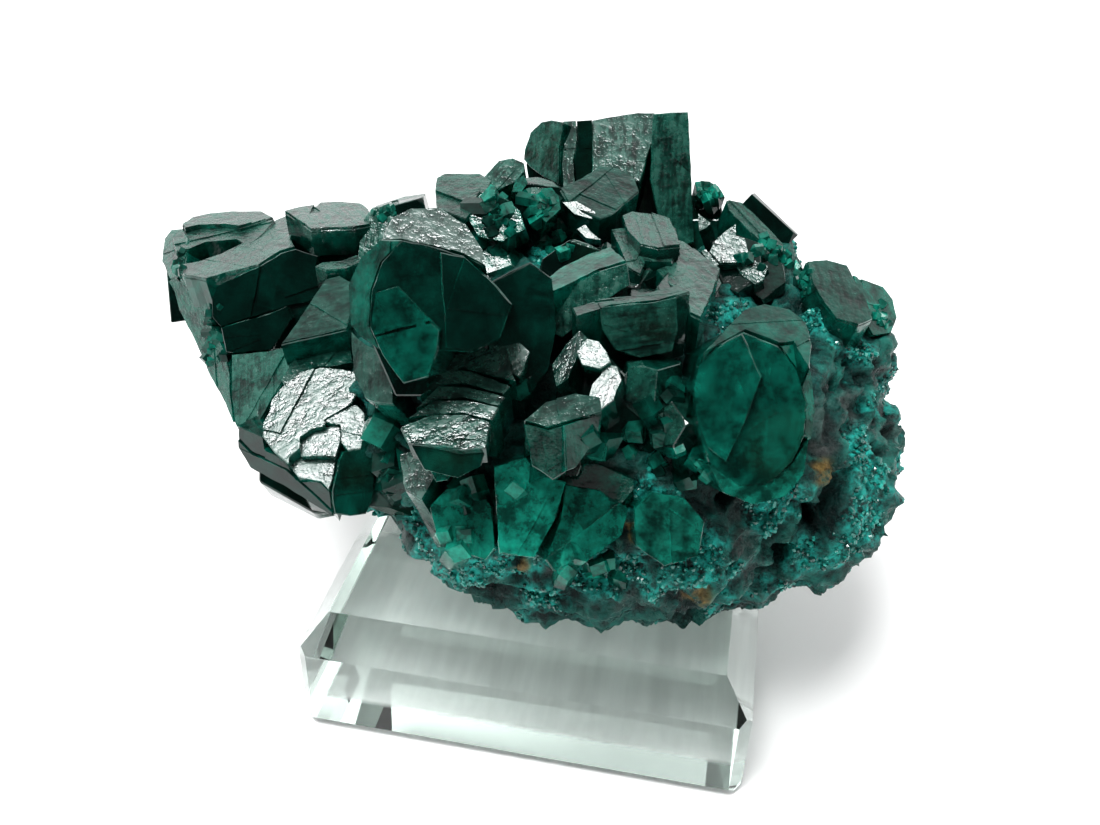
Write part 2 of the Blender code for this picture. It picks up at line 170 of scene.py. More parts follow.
SLABS = (
    # Left bundle
    Slab("left_top", 129.5, (-0.05, 0.85, 0.52), 2.0, SATIN,
         ((182, 224), (192, 217), (210, 213), (232, 211), (262, 211), (273, 217), (254, 224), (240, 228),
          (226, 226), (198, 227), (185, 230))),
    Slab("left_shelf", 127, (-0.05, 0.8, 0.6), 3.6, SATIN,
         ((172, 240), (186, 231), (200, 228), (238, 231), (262, 224), (275, 221), (262, 236), (248, 247),
          (237, 240), (205, 243), (188, 250), (176, 252))),
    Slab("left_knob", 126.5, (-0.55, 0.5, 0.67), 8, ROUGH,
         ((163, 262), (166, 240), (173, 231), (184, 230), (190, 240), (186, 258), (182, 276), (171, 280))),
    Slab("left_tread", 123.5, (-0.08, 0.84, 0.54), 5, SATIN,
         ((176, 268), (198, 264), (222, 256), (244, 245), (268, 226), (290, 216), (296, 231), (291, 241),
          (296, 249), (281, 253), (259, 267), (226, 275), (206, 281), (184, 277)), 6),
    Slab("left_riser", 119.5, (0.1, -0.12, 0.99), 9, GLASS,
         ((296, 249), (318, 256), (316, 266), (326, 280), (311, 301), (286, 306), (221, 327), (213, 318),
          (212, 300), (218, 286), (232, 279), (259, 267), (281, 253))),
    Slab("left_riser_low", 117.3, (0.12, -0.1, 0.99), 8, GLASS,
         ((221, 328), (271, 313), (287, 306), (292, 318), (281, 336), (271, 350), (232, 353), (226, 352))),
    Slab("left_band", 121, (-0.6, -0.05, 0.8), 10, ROUGH,
         ((170, 280), (183, 277), (205, 283), (212, 300), (214, 325), (226, 353), (231, 372), (233, 400),
          (236, 425), (228, 405), (211, 373), (196, 338), (181, 310), (176, 290)), 5),
    Slab("rear_top", 124.5, (0.0, 0.86, 0.5), 3.0, SATIN,
         ((285, 213), (300, 209), (315, 207), (320, 203), (340, 202), (360, 204), (369, 211), (373, 219),
          (370, 226), (355, 229), (330, 230), (311, 231), (302, 224), (294, 219))),
    Slab("rear_shelf", 118.5, (0.0, 0.84, 0.54), 2.5, SATIN,
         ((315, 266), (322, 262), (342, 262), (357, 256), (362, 263), (345, 270), (326, 271))),
    Slab("left_fill", 121, (0.0, -0.1, 0.99), 6, GLASS,
         ((262, 350), (270, 312), (300, 296), (326, 290), (332, 330), (300, 356)), 2),
    Slab("rear_fill", 122, (-0.2, 0.1, 0.97), 6, ROUGH,
         ((358, 262), (362, 222), (372, 207), (392, 206), (396, 240), (380, 262)), 3),
    Slab("left_grey", 114.5, (0.0, 0.6, 0.8), 9, SHADE,
         ((326, 281), (340, 277), (352, 284), (351, 318), (347, 330), (281, 345), (296, 325), (311, 303))),
    Slab("left_grey_low", 113.6, (0.05, 0.55, 0.83), 8, SHADE,
         ((300, 349), (349, 338), (353, 363), (331, 367), (314, 369), (298, 380), (288, 393), (282, 381))),
    Slab("left_fibrous", 114.6, (-0.35, 0.3, 0.88), 10, ROUGH,
         ((233, 355), (270, 352), (284, 348), (299, 350), (283, 382), (270, 405), (258, 428), (246, 440),
          (237, 428), (233, 400)), 6),
    Slab("bright_face", 110.4, (-0.04, 0.44, 0.9), 10, WHITE,
         ((262, 436), (264, 424), (270, 413), (272, 402), (282, 389), (300, 374), (320, 367), (343, 369),
          (356, 372), (357, 393), (352, 404), (324, 421), (325, 426), (312, 429), (300, 437), (299, 449),
          (289, 457), (288, 464), (274, 452)), 2),
    Slab("bright_step_a", 110.0, (0.04, 0.42, 0.9), 9, WHITE,
         ((325, 422), (327, 413), (352, 406), (357, 405), (365, 414), (365, 430), (361, 449), (348, 451),
          (342, 444), (341, 425)), 2),
    Slab("bright_step_b", 109.9, (-0.06, 0.4, 0.91), 9, WHITE,
         ((301, 437), (313, 429), (340, 424), (341, 441), (336, 457), (325, 456), (301, 457), (299, 450)), 2),
    Slab("bright_step_c", 109.8, (0.05, 0.44, 0.9), 9, WHITE,
         ((289, 459), (301, 458), (325, 457), (336, 459), (333, 478), (329, 490), (322, 482), (299, 478),
          (289, 466)), 2),
    Slab("bright_bevel", 110.6, (-0.35, -0.35, 0.87), 9, GLASS,
         ((238, 426), (262, 437), (264, 449), (275, 454), (288, 466), (298, 479), (322, 483), (331, 492),
          (334, 515), (318, 505), (290, 487), (251, 466), (239, 446))),
    Slab("bright_right", 109, (0.3, 0.0, 0.95), 9, DEEP,
         ((343, 452), (360, 450), (366, 430), (373, 440), (376, 470), (372, 500), (366, 514), (350, 516),
          (335, 514), (332, 492), (335, 478), (339, 460))),
    Slab("grey_upright", 104.5, (-0.3, 0.4, 0.87), 9, SHADE,
         ((351, 331), (366, 345), (382, 352), (392, 372), (394, 405), (380, 404), (365, 398), (353, 372))),
    # The tall prism at the back
    Slab("prism_left", 130, (-0.5, 0.0, 0.87), 7, ROUGH,
         ((524, 160), (525, 150), (531, 132), (541, 122), (551, 120), (562, 122), (560, 150), (560, 185),
          (545, 178), (531, 168)), 3),
    Slab("prism_strip", 129.4, (0.1, 0.4, 0.91), 6, SATIN,
         ((563, 122), (576, 121), (577, 140), (573, 160), (575, 184), (563, 190), (562, 165), (564, 145)), 2),
    Slab("prism_dark", 129.2, (0.0, -0.2, 0.98), 6, GLASS,
         ((577, 121), (592, 120), (594, 150), (592, 188), (576, 190), (574, 160), (578, 140)), 2),
    Slab("prism_patch", 128.4, (-0.05, 0.43, 0.9), 6, SATIN,
         ((592, 122), (610, 118), (638, 114), (655, 114), (653, 138), (648, 155), (640, 182), (604, 184),
          (592, 178)), 5),
    Slab("prism_right", 127.6, (0.0, -0.2, 0.98), 7, ROUGH,
         ((653, 114), (688, 112), (690, 150), (692, 200), (694, 243), (684, 246), (660, 225), (650, 180)), 4),
    # Plates and small crystals in front of it
    Slab("shoulder_grey", 118.6, (0.0, 0.72, 0.69), 8, SATIN,
         ((435, 190), (437, 180), (445, 176), (480, 176), (492, 183), (487, 193), (478, 205), (466, 219),
          (447, 212), (437, 208))),
    Slab("emerald_a", 116, (-0.1, 0.1, 0.99), 12, DIM,
         ((467, 217), (478, 197), (488, 188), (503, 197), (520, 211), (526, 230), (503, 242), (478, 237))),
    Slab("emerald_a_tip", 115.5, (-0.3, 0.5, 0.8), 2, EMERALD,
         ((480, 196), (491, 184), (496, 187), (494, 196), (484, 202))),
    Slab("knob", 121.5, (-0.1, 0.5, 0.86), 7, ROUGH,
         ((482, 180), (499, 161), (513, 158), (524, 163), (524, 172), (513, 184), (497, 190))),
    Slab("emerald_b", 119, (0.2, 0.3, 0.93), 4, EMERALD,
         ((512, 192), (516, 179), (524, 175), (528, 183), (521, 193))),
    Slab("small_grey", 117.6, (-0.2, 0.5, 0.85), 7, SATIN,
         ((521, 198), (531, 187), (541, 188), (543, 202), (535, 209))),
    Slab("small_emerald", 117.2, (0.2, 0.35, 0.9), 7, DIM,
         ((541, 188), (552, 187), (559, 196), (561, 209), (546, 223), (533, 210), (543, 202))),
    Slab("upper_plate_top", 119.5, (0.05, 0.66, 0.75), 3.4, SHADE,
         ((560, 190), (582, 180), (600, 168), (617, 169), (635, 180), (639, 192), (628, 201), (611, 215),
          (600, 219), (570, 206))),
    Slab("glint_a", 117.3, (-0.14, 0.26, 0.96), 1.5, WHITE,
         ((562, 202), (576, 201), (596, 212), (592, 219), (574, 214)), 0),
    Slab("glint_b", 116.8, (-0.14, 0.27, 0.95), 1.5, WHITE,
         ((577, 229), (585, 224), (591, 232), (601, 240), (586, 238)), 0),
    Slab("step_top", 114.8, (0.02, 0.8, 0.6), 1.6, SATIN,
         ((622, 216), (632, 212), (650, 214), (669, 220), (676, 234), (680, 247), (658, 249), (640, 245),
          (627, 231)), 4),
    Slab("step_glow", 113.8, (0.0, 0.3, 0.95), 1.5, EMERALD,
         ((656, 250), (679, 248), (678, 256), (663, 258)), 0),
    Slab("step_mid", 113.6, (0.0, 0.78, 0.62), 2, SATIN,
         ((611, 231), (626, 229), (637, 241), (652, 254), (674, 259), (672, 263), (645, 262), (640, 275),
          (628, 268), (620, 250)), 4),
    Slab("grey_slope_top", 111, (0.04, 0.78, 0.62), 8, SATIN,
         ((675, 240), (683, 242), (720, 270), (712, 295), (700, 320), (690, 315), (685, 292), (670, 286),
          (656, 271), (672, 265), (680, 255)), 4),
    Slab("green_middle_rim", 104, (-0.1, 0.78, 0.62), 7, DIM,
         ((540, 286), (560, 270), (590, 255), (612, 248), (626, 262), (600, 270), (570, 285), (548, 295))),
    Slab("green_middle", 103, (-0.1, -0.08, 0.99), 8, ROUGH,
         ((548, 296), (570, 286), (600, 271), (627, 263), (630, 285), (606, 300), (585, 320), (562, 338),
          (548, 330)), 4),
    Slab("olive_rim", 100.5, (0.0, 0.8, 0.6), 7, SHADE,
         ((572, 308), (600, 300), (640, 296), (678, 286), (690, 292), (660, 301), (610, 306), (576, 316))),
    Slab("olive_face", 99.5, (0.0, -0.1, 1.0), 8, SHADE,
         ((600, 307), (655, 302), (676, 297), (678, 330), (672, 352), (640, 358), (614, 350), (602, 330)), 5),
    # The big front crystals
    Slab("giant_face", 90.3, (0.0, -0.1, 0.99), 12, DEEP,
         ((382, 262), (402, 240), (431, 246), (464, 256), (497, 286), (512, 304), (500, 338), (474, 352),
          (440, 350), (428, 378), (404, 384), (384, 356), (370, 328), (372, 290)), 9),
    Slab("giant_facet", 89.7, (0.16, -0.12, 0.97), 8, GLASS,
         ((440, 252), (464, 257), (496, 287), (511, 304), (500, 336), (474, 351), (446, 348)), 6),
    Slab("giant_facet_low", 89.9, (-0.14, -0.08, 0.99), 8, MURKY,
         ((376, 292), (398, 286), (440, 330), (438, 350), (428, 377), (404, 383), (384, 356), (371, 328)), 5),
    Slab("giant_rim", 91.3, (-0.04, 0.46, 0.89), 12, SOFT,
         ((382, 239), (392, 217), (410, 208), (440, 207), (467, 225), (482, 248), (486, 268), (464, 255),
          (431, 245), (402, 239)), 1),
    Slab("giant_left", 91, (-0.45, 0.0, 0.89), 10, MURKY,
         ((352, 326), (350, 285), (363, 256), (382, 239), (402, 240), (382, 262), (372, 290), (370, 328),
          (380, 350), (362, 338)), 4),
    Slab("giant_shadow", 98, (0.1, -0.1, 0.99), 9, GLASS,
         ((490, 282), (530, 262), (552, 278), (556, 330), (548, 372), (528, 396), (510, 372), (496, 338)), 5),
    Slab("stack_top", 97.5, (-0.05, 0.46, 0.88), 10, SATIN,
         ((485, 335), (508, 333), (530, 352), (520, 378), (494, 366))),
    Slab("stack_step_a", 96.8, (-0.05, 0.52, 0.85), 6, SATIN,
         ((426, 384), (444, 358), (480, 345), (504, 356), (516, 382), (495, 378), (462, 368))),
    Slab("stack_step_b", 95.8, (-0.05, 0.5, 0.86), 6, SATIN,
         ((420, 396), (443, 370), (470, 372), (510, 386), (503, 394), (464, 384), (440, 386))),
    Slab("stack_step_c", 94.8, (-0.05, 0.52, 0.85), 6, SATIN,
         ((416, 408), (438, 387), (466, 387), (505, 397), (498, 406), (464, 398), (436, 400))),
    Slab("stack_step_d", 93.8, (-0.05, 0.5, 0.86), 7, SATIN,
         ((408, 418), (434, 401), (466, 401), (499, 408), (492, 420), (464, 413), (434, 414))),
    Slab("stack_step_e", 92.8, (-0.05, 0.54, 0.84), 2.5, SATIN,
         ((400, 428), (432, 415), (466, 415), (490, 422), (486, 448), (462, 450), (436, 446), (408, 444))),
    Slab("stack_front", 92.6, (0.0, -0.02, 1.0), 8, DEEP,
         ((410, 444), (436, 446), (462, 450), (486, 448), (481, 466), (458, 478), (424, 470)), 1),
    Slab("cube_top", 93.4, (0.0, 0.54, 0.84), 8, SHADE,
         ((524, 420), (545, 402), (575, 394), (600, 398), (602, 412), (575, 420), (548, 428))),
    Slab("cube_front", 92.4, (-0.05, 0.08, 1.0), 8, SHADE,
         ((524, 424), (548, 430), (562, 426), (566, 472), (553, 480), (532, 466)), 2),
    Slab("cube_right", 92.6, (0.45, 0.2, 0.87), 8, SHADE,
         ((564, 425), (600, 414), (598, 432), (588, 450), (575, 468), (566, 471)), 2),
    Slab("highlight_a", 96.6, (-0.13, 0.33, 0.93), 6, WHITE,
         ((576, 352), (587, 338), (599, 341), (607, 352), (611, 362), (600, 369), (582, 365)), 0),
    Slab("highlight_b", 96.2, (-0.15, 0.31, 0.93), 6, WHITE,
         ((603, 362), (617, 366), (622, 380), (614, 400), (598, 412), (587, 404), (592, 384), (601, 374)), 0),
    Slab("highlight_side", 98.6, (-0.3, 0.4, 0.86), 6, SHADE,
         ((552, 366), (566, 345), (580, 330), (588, 338), (578, 356), (568, 380), (556, 388))),
    Slab("right_giant_face", 93, (0.0, -0.08, 1.0), 12, MURKY,
         ((694, 388), (702, 356), (728, 340), (744, 332), (778, 346), (796, 368), (806, 402), (804, 436),
          (792, 462), (770, 482), (738, 486), (712, 470), (698, 432)), 8),
    Slab("right_giant_facet", 92.4, (-0.16, -0.06, 0.98), 8, MURKY,
         ((694, 388), (702, 356), (728, 340), (742, 333), (762, 376), (744, 424), (726, 462), (708, 448),
          (698, 424)), 6),
    Slab("right_giant_low", 93.6, (0.1, -0.05, 0.99), 11, DIM,
         ((708, 464), (738, 486), (770, 482), (794, 462), (808, 440), (804, 474), (786, 496), (752, 504),
          (722, 492)), 5),
    Slab("right_giant_side", 93.8, (0.4, 0.05, 0.91), 11, DIM,
         ((780, 346), (794, 344), (810, 372), (815, 412), (810, 440), (804, 436), (806, 402), (796, 368)), 4),
    Slab("right_giant_rim", 94, (0.1, 0.68, 0.73), 11, MURKY,
         ((702, 354), (722, 334), (743, 312), (764, 306), (790, 312), (806, 324), (812, 345), (810, 368),
          (794, 343), (778, 344), (744, 331)), 5),
    # Green crystals below
    Slab("teal_a", 102, (-0.1, -0.02, 0.99), 10, EMERALD,
         ((430, 506), (448, 488), (478, 484), (492, 506), (495, 548), (486, 560), (462, 552), (437, 536)), 5),
    Slab("teal_d", 100, (0.05, -0.03, 1.0), 9, DIM,
         ((634, 508), (652, 492), (684, 498), (704, 522), (698, 556), (664, 566), (636, 546)), 6),
    Slab("teal_glint", 97, (0.1, 0.0, 0.99), 6, EMERALD,
         ((430, 470), (441, 452), (454, 451), (460, 464), (448, 480), (436, 482)), 2),
    Slab("teal_b", 98, (0.05, -0.05, 0.99), 12, EMERALD,
         ((494, 466), (526, 458), (543, 475), (566, 482), (554, 522), (534, 558), (499, 554)), 3),
    Slab("teal_c", 100.5, (0.2, 0.0, 0.98), 10, EMERALD,
         ((566, 484), (600, 490), (628, 508), (622, 534), (574, 571), (553, 571), (545, 560), (560, 520)), 3),
    Slab("low_ledge", 103, (-0.2, 0.55, 0.8), 8, SATIN,
         ((400, 455), (430, 448), (452, 455), (440, 470), (422, 500), (405, 490)), 3),
    # Right shoulder
    # mica_a, mica_c and mica_d are crystal faces turned to the softbox, with the pale frost of a partly painted
    # highlight
    Slab("mica_a", 118.5, (-0.16, 0.37, 0.92), 5, WHITE,
         ((714, 241), (725, 231), (736, 223), (736, 235), (745, 239), (750, 257), (735, 264), (720, 264),
          (709, 252)), 3),
    Slab("mica_b", 117.8, (-0.1, 0.38, 0.92), 5, SATIN,
         ((736, 267), (748, 258), (768, 266), (764, 280), (755, 285), (742, 276)), 3),
    Slab("mica_c", 117.4, (-0.1, 0.38, 0.92), 3, WHITE,
         ((701, 251), (706, 249), (719, 264), (714, 268)), 0),
    Slab("mica_d", 121, (-0.3, 0.4, 0.86), 5, WHITE,
         ((698, 213), (703, 217), (711, 223), (706, 228), (699, 231)), 0),
    Slab("log_top", 124.5, (0.2, 0.55, 0.81), 4, SATIN,
         ((727, 200), (741, 203), (757, 218), (783, 245), (779, 251), (768, 251), (746, 228), (729, 210)), 2),
    Slab("rear_teal", 127, (0.0, 0.3, 0.95), 6, EMERALD,
         ((695, 182), (706, 181), (718, 186), (725, 197), (711, 201), (698, 195)), 2),
    Slab("shoulder_face", 117, (0.15, 0.6, 0.78), 8, SHADE,
         ((806, 262), (826, 261), (846, 266), (853, 280), (865, 300), (872, 320), (858, 326), (836, 320),
          (824, 305), (812, 285)), 8),
    Slab("edge_face", 121.5, (0.4, 0.25, 0.88), 9, DIM,
         ((852, 276), (866, 281), (882, 287), (892, 300), (896, 318), (890, 334), (872, 336), (858, 312)), 4),
)

# Rock lumps: centre and half sizes in millimetres
Lump = namedtuple("Lump", "name centre half")

ROCK = (
    Lump("rock_core", (4, 1, 31), (30, 19, 11)),
    Lump("rock_foot", (8, -3.5, 24), (23.5, 17, 13)),
    Lump("rock_front", (4.5, -15.5, 29), (19.5, 10, 13)),
    Lump("rock_right", (26, 0.5, 27.5), (12.2, 16, 13)),
    Lump("rock_left", (-16, -6, 34), (16, 11, 9)),
    Lump("rock_shoulder", (18, 13, 38), (11, 9, 9.5)),
    Lump("rock_crust", (2, -2, 33.5), (31.5, 22, 15.5)),
    Lump("rock_right_shoulder", (26, 7, 36), (9, 10, 10)),
    Lump("rock_right_edge", (31, 9, 34), (5.5, 8.5, 9.5)),
)
ROCK_VOXEL = 0.42 * MM
ROCK_REST = 15.3 * MM

# Patches of the rock: the image point and radius in mm where each shows, and what lies there
Patch = namedtuple("Patch", "place radius kind")

PATCHES = (
    Patch((865, 455), 3.6, "teal"), Patch((858, 342), 2.6, "teal"), Patch((820, 318), 2.4, "teal"),
    Patch((812, 292), 1.6, "teal"), Patch((892, 306), 2.4, "teal"), Patch((694, 562), 3.6, "teal"),
    Patch((732, 460), 1.8, "teal"), Patch((655, 520), 2.4, "teal"), Patch((600, 585), 3.2, "teal"),
    Patch((540, 600), 2.6, "teal"), Patch((770, 500), 2.6, "teal"), Patch((800, 555), 2.4, "teal"),
    Patch((860, 520), 2.4, "teal"), Patch((470, 570), 2.6, "teal"),
    Patch((682, 522), 1.8, "ochre"), Patch((694, 594), 1.6, "ochre"), Patch((824, 472), 1.7, "ochre"),
    Patch((640, 532), 1.3, "ochre"), Patch((520, 570), 1.0, "ochre"),
    Patch((672, 470), 2.0, "grey"), Patch((842, 300), 2.6, "grey"), Patch((700, 610), 2.0, "grey"),
    Patch((740, 540), 1.8, "grey"), Patch((560, 575), 1.8, "grey"), Patch((826, 440), 1.6, "grey"),
    Patch((774, 549), 1.5, "hollow"), Patch((846, 432), 0.9, "hollow"), Patch((610, 545), 0.9, "hollow"),
    Patch((726, 500), 0.9, "hollow"), Patch((836, 386), 1.0, "hollow"), Patch((812, 520), 0.9, "hollow"),
    Patch((720, 590), 0.8, "hollow"),
)

# Groups of small crystals: the image point and spread where each shows, how many there are, how
# many mm across they are, and how much painted emerald glow shows in them
Cluster = namedtuple("Cluster", "place spread count across glow")

CLUSTERS = (
    Cluster((456, 546), (26, 14), 5, (1.6, 3.0), (0.3, 0.7)),
    Cluster((500, 486), (70, 12), 5, (1.6, 3.0), (0.2, 0.6)),
    Cluster((600, 562), (70, 16), 6, (1.6, 3.0), (0.3, 0.7)),
    Cluster((680, 466), (30, 20), 9, (1.2, 2.6), (0.1, 0.5)),
    Cluster((498, 216), (24, 22), 26, (1.0, 2.6), (0.0, 0.5)),
    Cluster((556, 243), (24, 9), 18, (1.0, 2.0), (0.2, 0.8)),
    Cluster((540, 205), (16, 12), 14, (0.9, 2.0), (0.1, 0.5)),
    Cluster((658, 424), (22, 36), 8, (1.4, 3.0), (0.0, 0.2)),
    Cluster((624, 450), (40, 24), 6, (1.6, 3.2), (0.0, 0.3)),
    Cluster((520, 396), (16, 24), 3, (1.6, 2.8), (0.0, 0.15)),
    Cluster((388, 470), (18, 30), 10, (2.0, 4.4), (0.0, 0.2)),
    Cluster((708, 194), (12, 8), 14, (0.8, 1.8), (0.1, 0.6)),
    Cluster((768, 254), (24, 14), 24, (0.8, 1.8), (0.0, 0.5)),
    Cluster((804, 282), (12, 20), 22, (0.8, 1.8), (0.1, 0.6)),
    Cluster((884, 316), (8, 14), 12, (0.8, 1.6), (0.1, 0.5)),
    Cluster((380, 212), (22, 4), 10, (0.7, 1.4), (0.2, 0.6)),
    Cluster((180, 264), (6, 18), 8, (0.8, 1.6), (0.0, 0.4)),
    Cluster((212, 350), (10, 30), 12, (0.8, 1.6), (0.0, 0.3)),
)
DRUSE_COUNT = 4200
DRUSE_ACROSS = (0.2, 0.6)
DRUSE_SEED = 3

GROWTH_SEED = 5
CONTACT_GAP = 0.6
CONTACT_REACH = 12
# The ring at this share round the middle of a slab's top takes the finish's painted glow, the outline its rim glow
CORE_SHARE = 0.5


def seen(across, down, depth):
    """The place in the world, in mm, that the image point shows at this distance from the camera."""
    ray = Vector(((across - IMAGE_WIDTH / 2) / FOCAL_PIXELS, (IMAGE_HEIGHT / 2 - down) / FOCAL_PIXELS, -1))
    return CAMERA_PLACE + CAMERA_MATRIX @ ray * depth


def crust_crystals():
    """Small crystals in a spiral round the crust, each leaning its own way."""
    chance = random.Random(CRUST_SEED)
    turn = math.pi * (3 - math.sqrt(5))
    for number in range(CRUST_COUNT):
        share = (number + 0.5) / CRUST_COUNT
        rise = math.asin(math.sin(CRUST_LOWEST) + share * (math.sin(CRUST_HIGHEST) - math.sin(CRUST_LOWEST)))
        around = number * turn
        level = math.cos(rise)
        outward = Vector((level * math.cos(around), level * math.sin(around), math.sin(rise)))
        tip = [middle + half * value for middle, half, value in zip(CRUST_CENTRE, CRUST_HALF, outward)]
        lean = Vector([chance.uniform(-0.45, 0.45) for _ in range(3)])
        face = Vector([chance.uniform(-1, 1) for _ in range(3)])
        across = chance.uniform(4.5, 7.5)
        size = (across, across * chance.uniform(1, 1.3), 12)
        pointed = chance.random() < 0.6
        if outward.dot(BARE_SIDE) < BARE_FROM or rise > BARE_HIGHEST:
            yield Crystal(f"crust_{number:02d}", tip, outward + lean, face, size, pointed)


def crystal_planes(crystal):
    """The faces of a crystal in its own axes, as outward normals and distances from the tip, in mm."""
    across, wide, length = crystal.size
    planes = []
    for number in range(6):
        around = math.radians(60 * number)
        slope = Vector((math.cos(around) * 2 / across, math.sin(around) * 2 * HEXAGON_RADIUS / wide, 0))
        planes.append((slope.normalized(), 1 / slope.length))
    planes.append((Vector((0, 0, 1)), 0.0))
    planes.append((Vector((0, 0, -1)), length))
    if crystal.pointed:
        for corner in (90, 210, 330):
            around = math.radians(corner)
            level = math.sin(TIP_FACE_LEAN)
            normal = Vector((level * math.cos(around), level * math.sin(around), math.cos(TIP_FACE_LEAN)))
            planes.append((normal, 0.0))
    for direction, distance in crystal.cuts:
        planes.append((Vector(direction).normalized(), distance))
    return planes


def crystal_turn(crystal):
    """From the crystal's own axes, in mm, to the world, in metres."""
    axis = Vector(crystal.axis).normalized()
    side = axis.cross(Vector(crystal.face)).normalized()
    face = side.cross(axis)
    turn = Matrix((face, side, axis)).transposed().to_4x4()
    return Matrix.Scale(MM, 4) @ Matrix.Translation(Vector(crystal.tip)) @ turn


def solid_between(planes, reach):
    """The convex solid inside all the planes, in mm."""
    form = bmesh.new()
    bmesh.ops.create_cube(form, size=4 * reach)
    for normal, distance in planes:
        geometry = form.verts[:] + form.edges[:] + form.faces[:]
        bmesh.ops.bisect_plane(form, geom=geometry, dist=1e-5, plane_co=normal * distance,
                               plane_no=normal, clear_outer=True)
        rim = [edge for edge in form.edges if edge.is_boundary]
        if rim:
            bmesh.ops.contextual_create(form, geom=rim)
        if not form.faces:
            break
    return form


def terrace(planes, chance, size):
    """A layer of later growth: the same faces, with one moved out a little and the others moved in."""
    raised = chance.randrange(len(planes))
    while planes[raised][0].z < -0.5:
        raised = chance.randrange(len(planes))
    layer = []
    for number, (normal, distance) in enumerate(planes):
        if number == raised:
            layer.append((normal, distance + chance.uniform(0.08, 0.03 * size + 0.12)))
        else:
            layer.append((normal, distance - chance.uniform(0.02, 0.42) * size))
    return layer


def add_maps(form):
    return [form.loops.layers.uv.new(name) for name in ("growth", "finish", "light")]


def mark_face(face, maps, along, tone, finish, core=(), dark=()):
    """Stores on a face its growth lines, finish, painted glow and tone for the material."""
    growth, sheen, light = maps
    across = face.normal.cross(along)
    for loop in face.loops:
        place = loop.vert.co
        # Painted glow: the finish's middle glow at core corners, its rim glow elsewhere, and none at dark corners
        glow = finish.glow if loop.vert in core else finish.rim
        if loop.vert in dark:
            glow = 0.0
        loop[growth].uv = (place.dot(along) + 40 * tone, place.dot(across) + 17 * tone)
        loop[sheen].uv = (finish.satin, finish.frost)
        loop[light].uv = (glow, tone)


def entry_depth(planes, start, ray):
    """How far along the ray the convex solid begins, or None if the ray misses it."""
    nearest, furthest = -1e9, 1e9
    for normal, distance in planes:
        slope = normal.dot(ray)
        gap = distance - normal.dot(start)
        if abs(slope) < 1e-9:
            if gap < 0:
                return None
        elif slope < 0:
            nearest = max(nearest, gap / slope)
        else:
            furthest = min(furthest, gap / slope)
    return nearest if nearest < furthest else None


def contact_planes(planes, turn, faces):
    """Planes that keep the crystal from growing through the faces in front of it."""
    inverse = turn.inverted()
    start = inverse @ (CAMERA_PLACE * MM)
    cuts = []
    for face in faces:
        hidden = False
        for sample in face.samples:
            target = inverse @ (sample * MM)
            ray = target - start
            entry = entry_depth(planes, start, ray)
            if entry is not None and 0 < (1 - entry) * ray.length < CONTACT_REACH and 1 - entry > 0.002:
                hidden = True
        if hidden:
            origin = inverse @ (face.origin * MM)
            normal = (start - origin).normalized()
            deepest = min(normal.dot(inverse @ (corner * MM)) for corner in face.corners)
            cuts.append((normal, 0.5 * (normal.dot(origin) + deepest) - CONTACT_GAP))
    return cuts


def crystal_solids(crystal, chance, faces):
    """The crystal and its layers of growth, as closed solids in the world."""
    planes = crystal_planes(crystal)
    size = min(crystal.size[0], crystal.size[1])
    reach = max(crystal.size) + 4
    turn = crystal_turn(crystal)
    contacts = contact_planes(planes, turn, faces)
    planes += contacts
    tone = chance.random()
    # A pointed crystal may get an emerald glow painted into its colour
    glow = chance.choice((0.0, 0.0, 0.15, 0.35)) if crystal.pointed else 0.0
    main = []
    for normal, distance in planes:
        shift = chance.uniform(-0.06, 0.02) * size if abs(normal.z) < 0.9 else 0
        main.append((normal, distance + shift))
    body = solid_between(main, reach)
    if not body.verts:
        return []
    for _ in range(3):
        direction = Vector((chance.uniform(-1, 1), chance.uniform(-1, 1), chance.uniform(0.1, 1.2))).normalized()
        furthest = max(corner.co.dot(direction) for corner in body.verts)
        main.append((direction, furthest - chance.uniform(0.03, 0.1) * size))
    body.free()
    body = solid_between(main, reach)
    if not body.verts:
        return []
    bmesh.ops.bevel(body, geom=body.edges[:], offset=0.01 * size + 0.03, segments=1, profile=0.5,
                    affect="EDGES", clamp_overlap=True)
    forms = [body]
    for _ in range(int(2 + size * 0.6)):
        form = solid_between(terrace(main, chance, size), reach)
        if len(form.faces) >= 4:
            forms.append(form)
        else:
            form.free()
    for form in forms:
        form.normal_update()
        maps = add_maps(form)
        for face in form.faces:
            flat = abs(face.normal.z) > 0.75
            along = Vector((1, 0, 0)) if flat else Vector((0, 0, 1))
            along = (along - face.normal * along.dot(face.normal)).normalized()
            # Top faces are more often satin, which roughens them and lightens their colour, partly as a painted
            # sheen
            sheen = chance.choice((0.0, 0.1, 0.3, 0.6)) if face.normal.z > 0.3 else chance.choice((0, 0, 0.1, 0.25))
            if any(face.normal.dot(normal) > 0.99 for normal, _ in contacts):
                sheen = 0.0
            mark_face(face, maps, along, tone, Finish(sheen, 0.1 * sheen, glow, glow))
        form.transform(turn)
    return forms


def clip_outline(outline, point, outward):
    """The part of a flat outline that lies inside the line through the point."""
    kept = []
    for here, there in zip(outline, outline[1:] + outline[:1]):
        height = (here - point).dot(outward)
        next_height = (there - point).dot(outward)
        if height <= 0:
            kept.append(here)
        if (height < 0 < next_height) or (next_height < 0 < height):
            kept.append(here.lerp(there, height / (height - next_height)))
    return kept


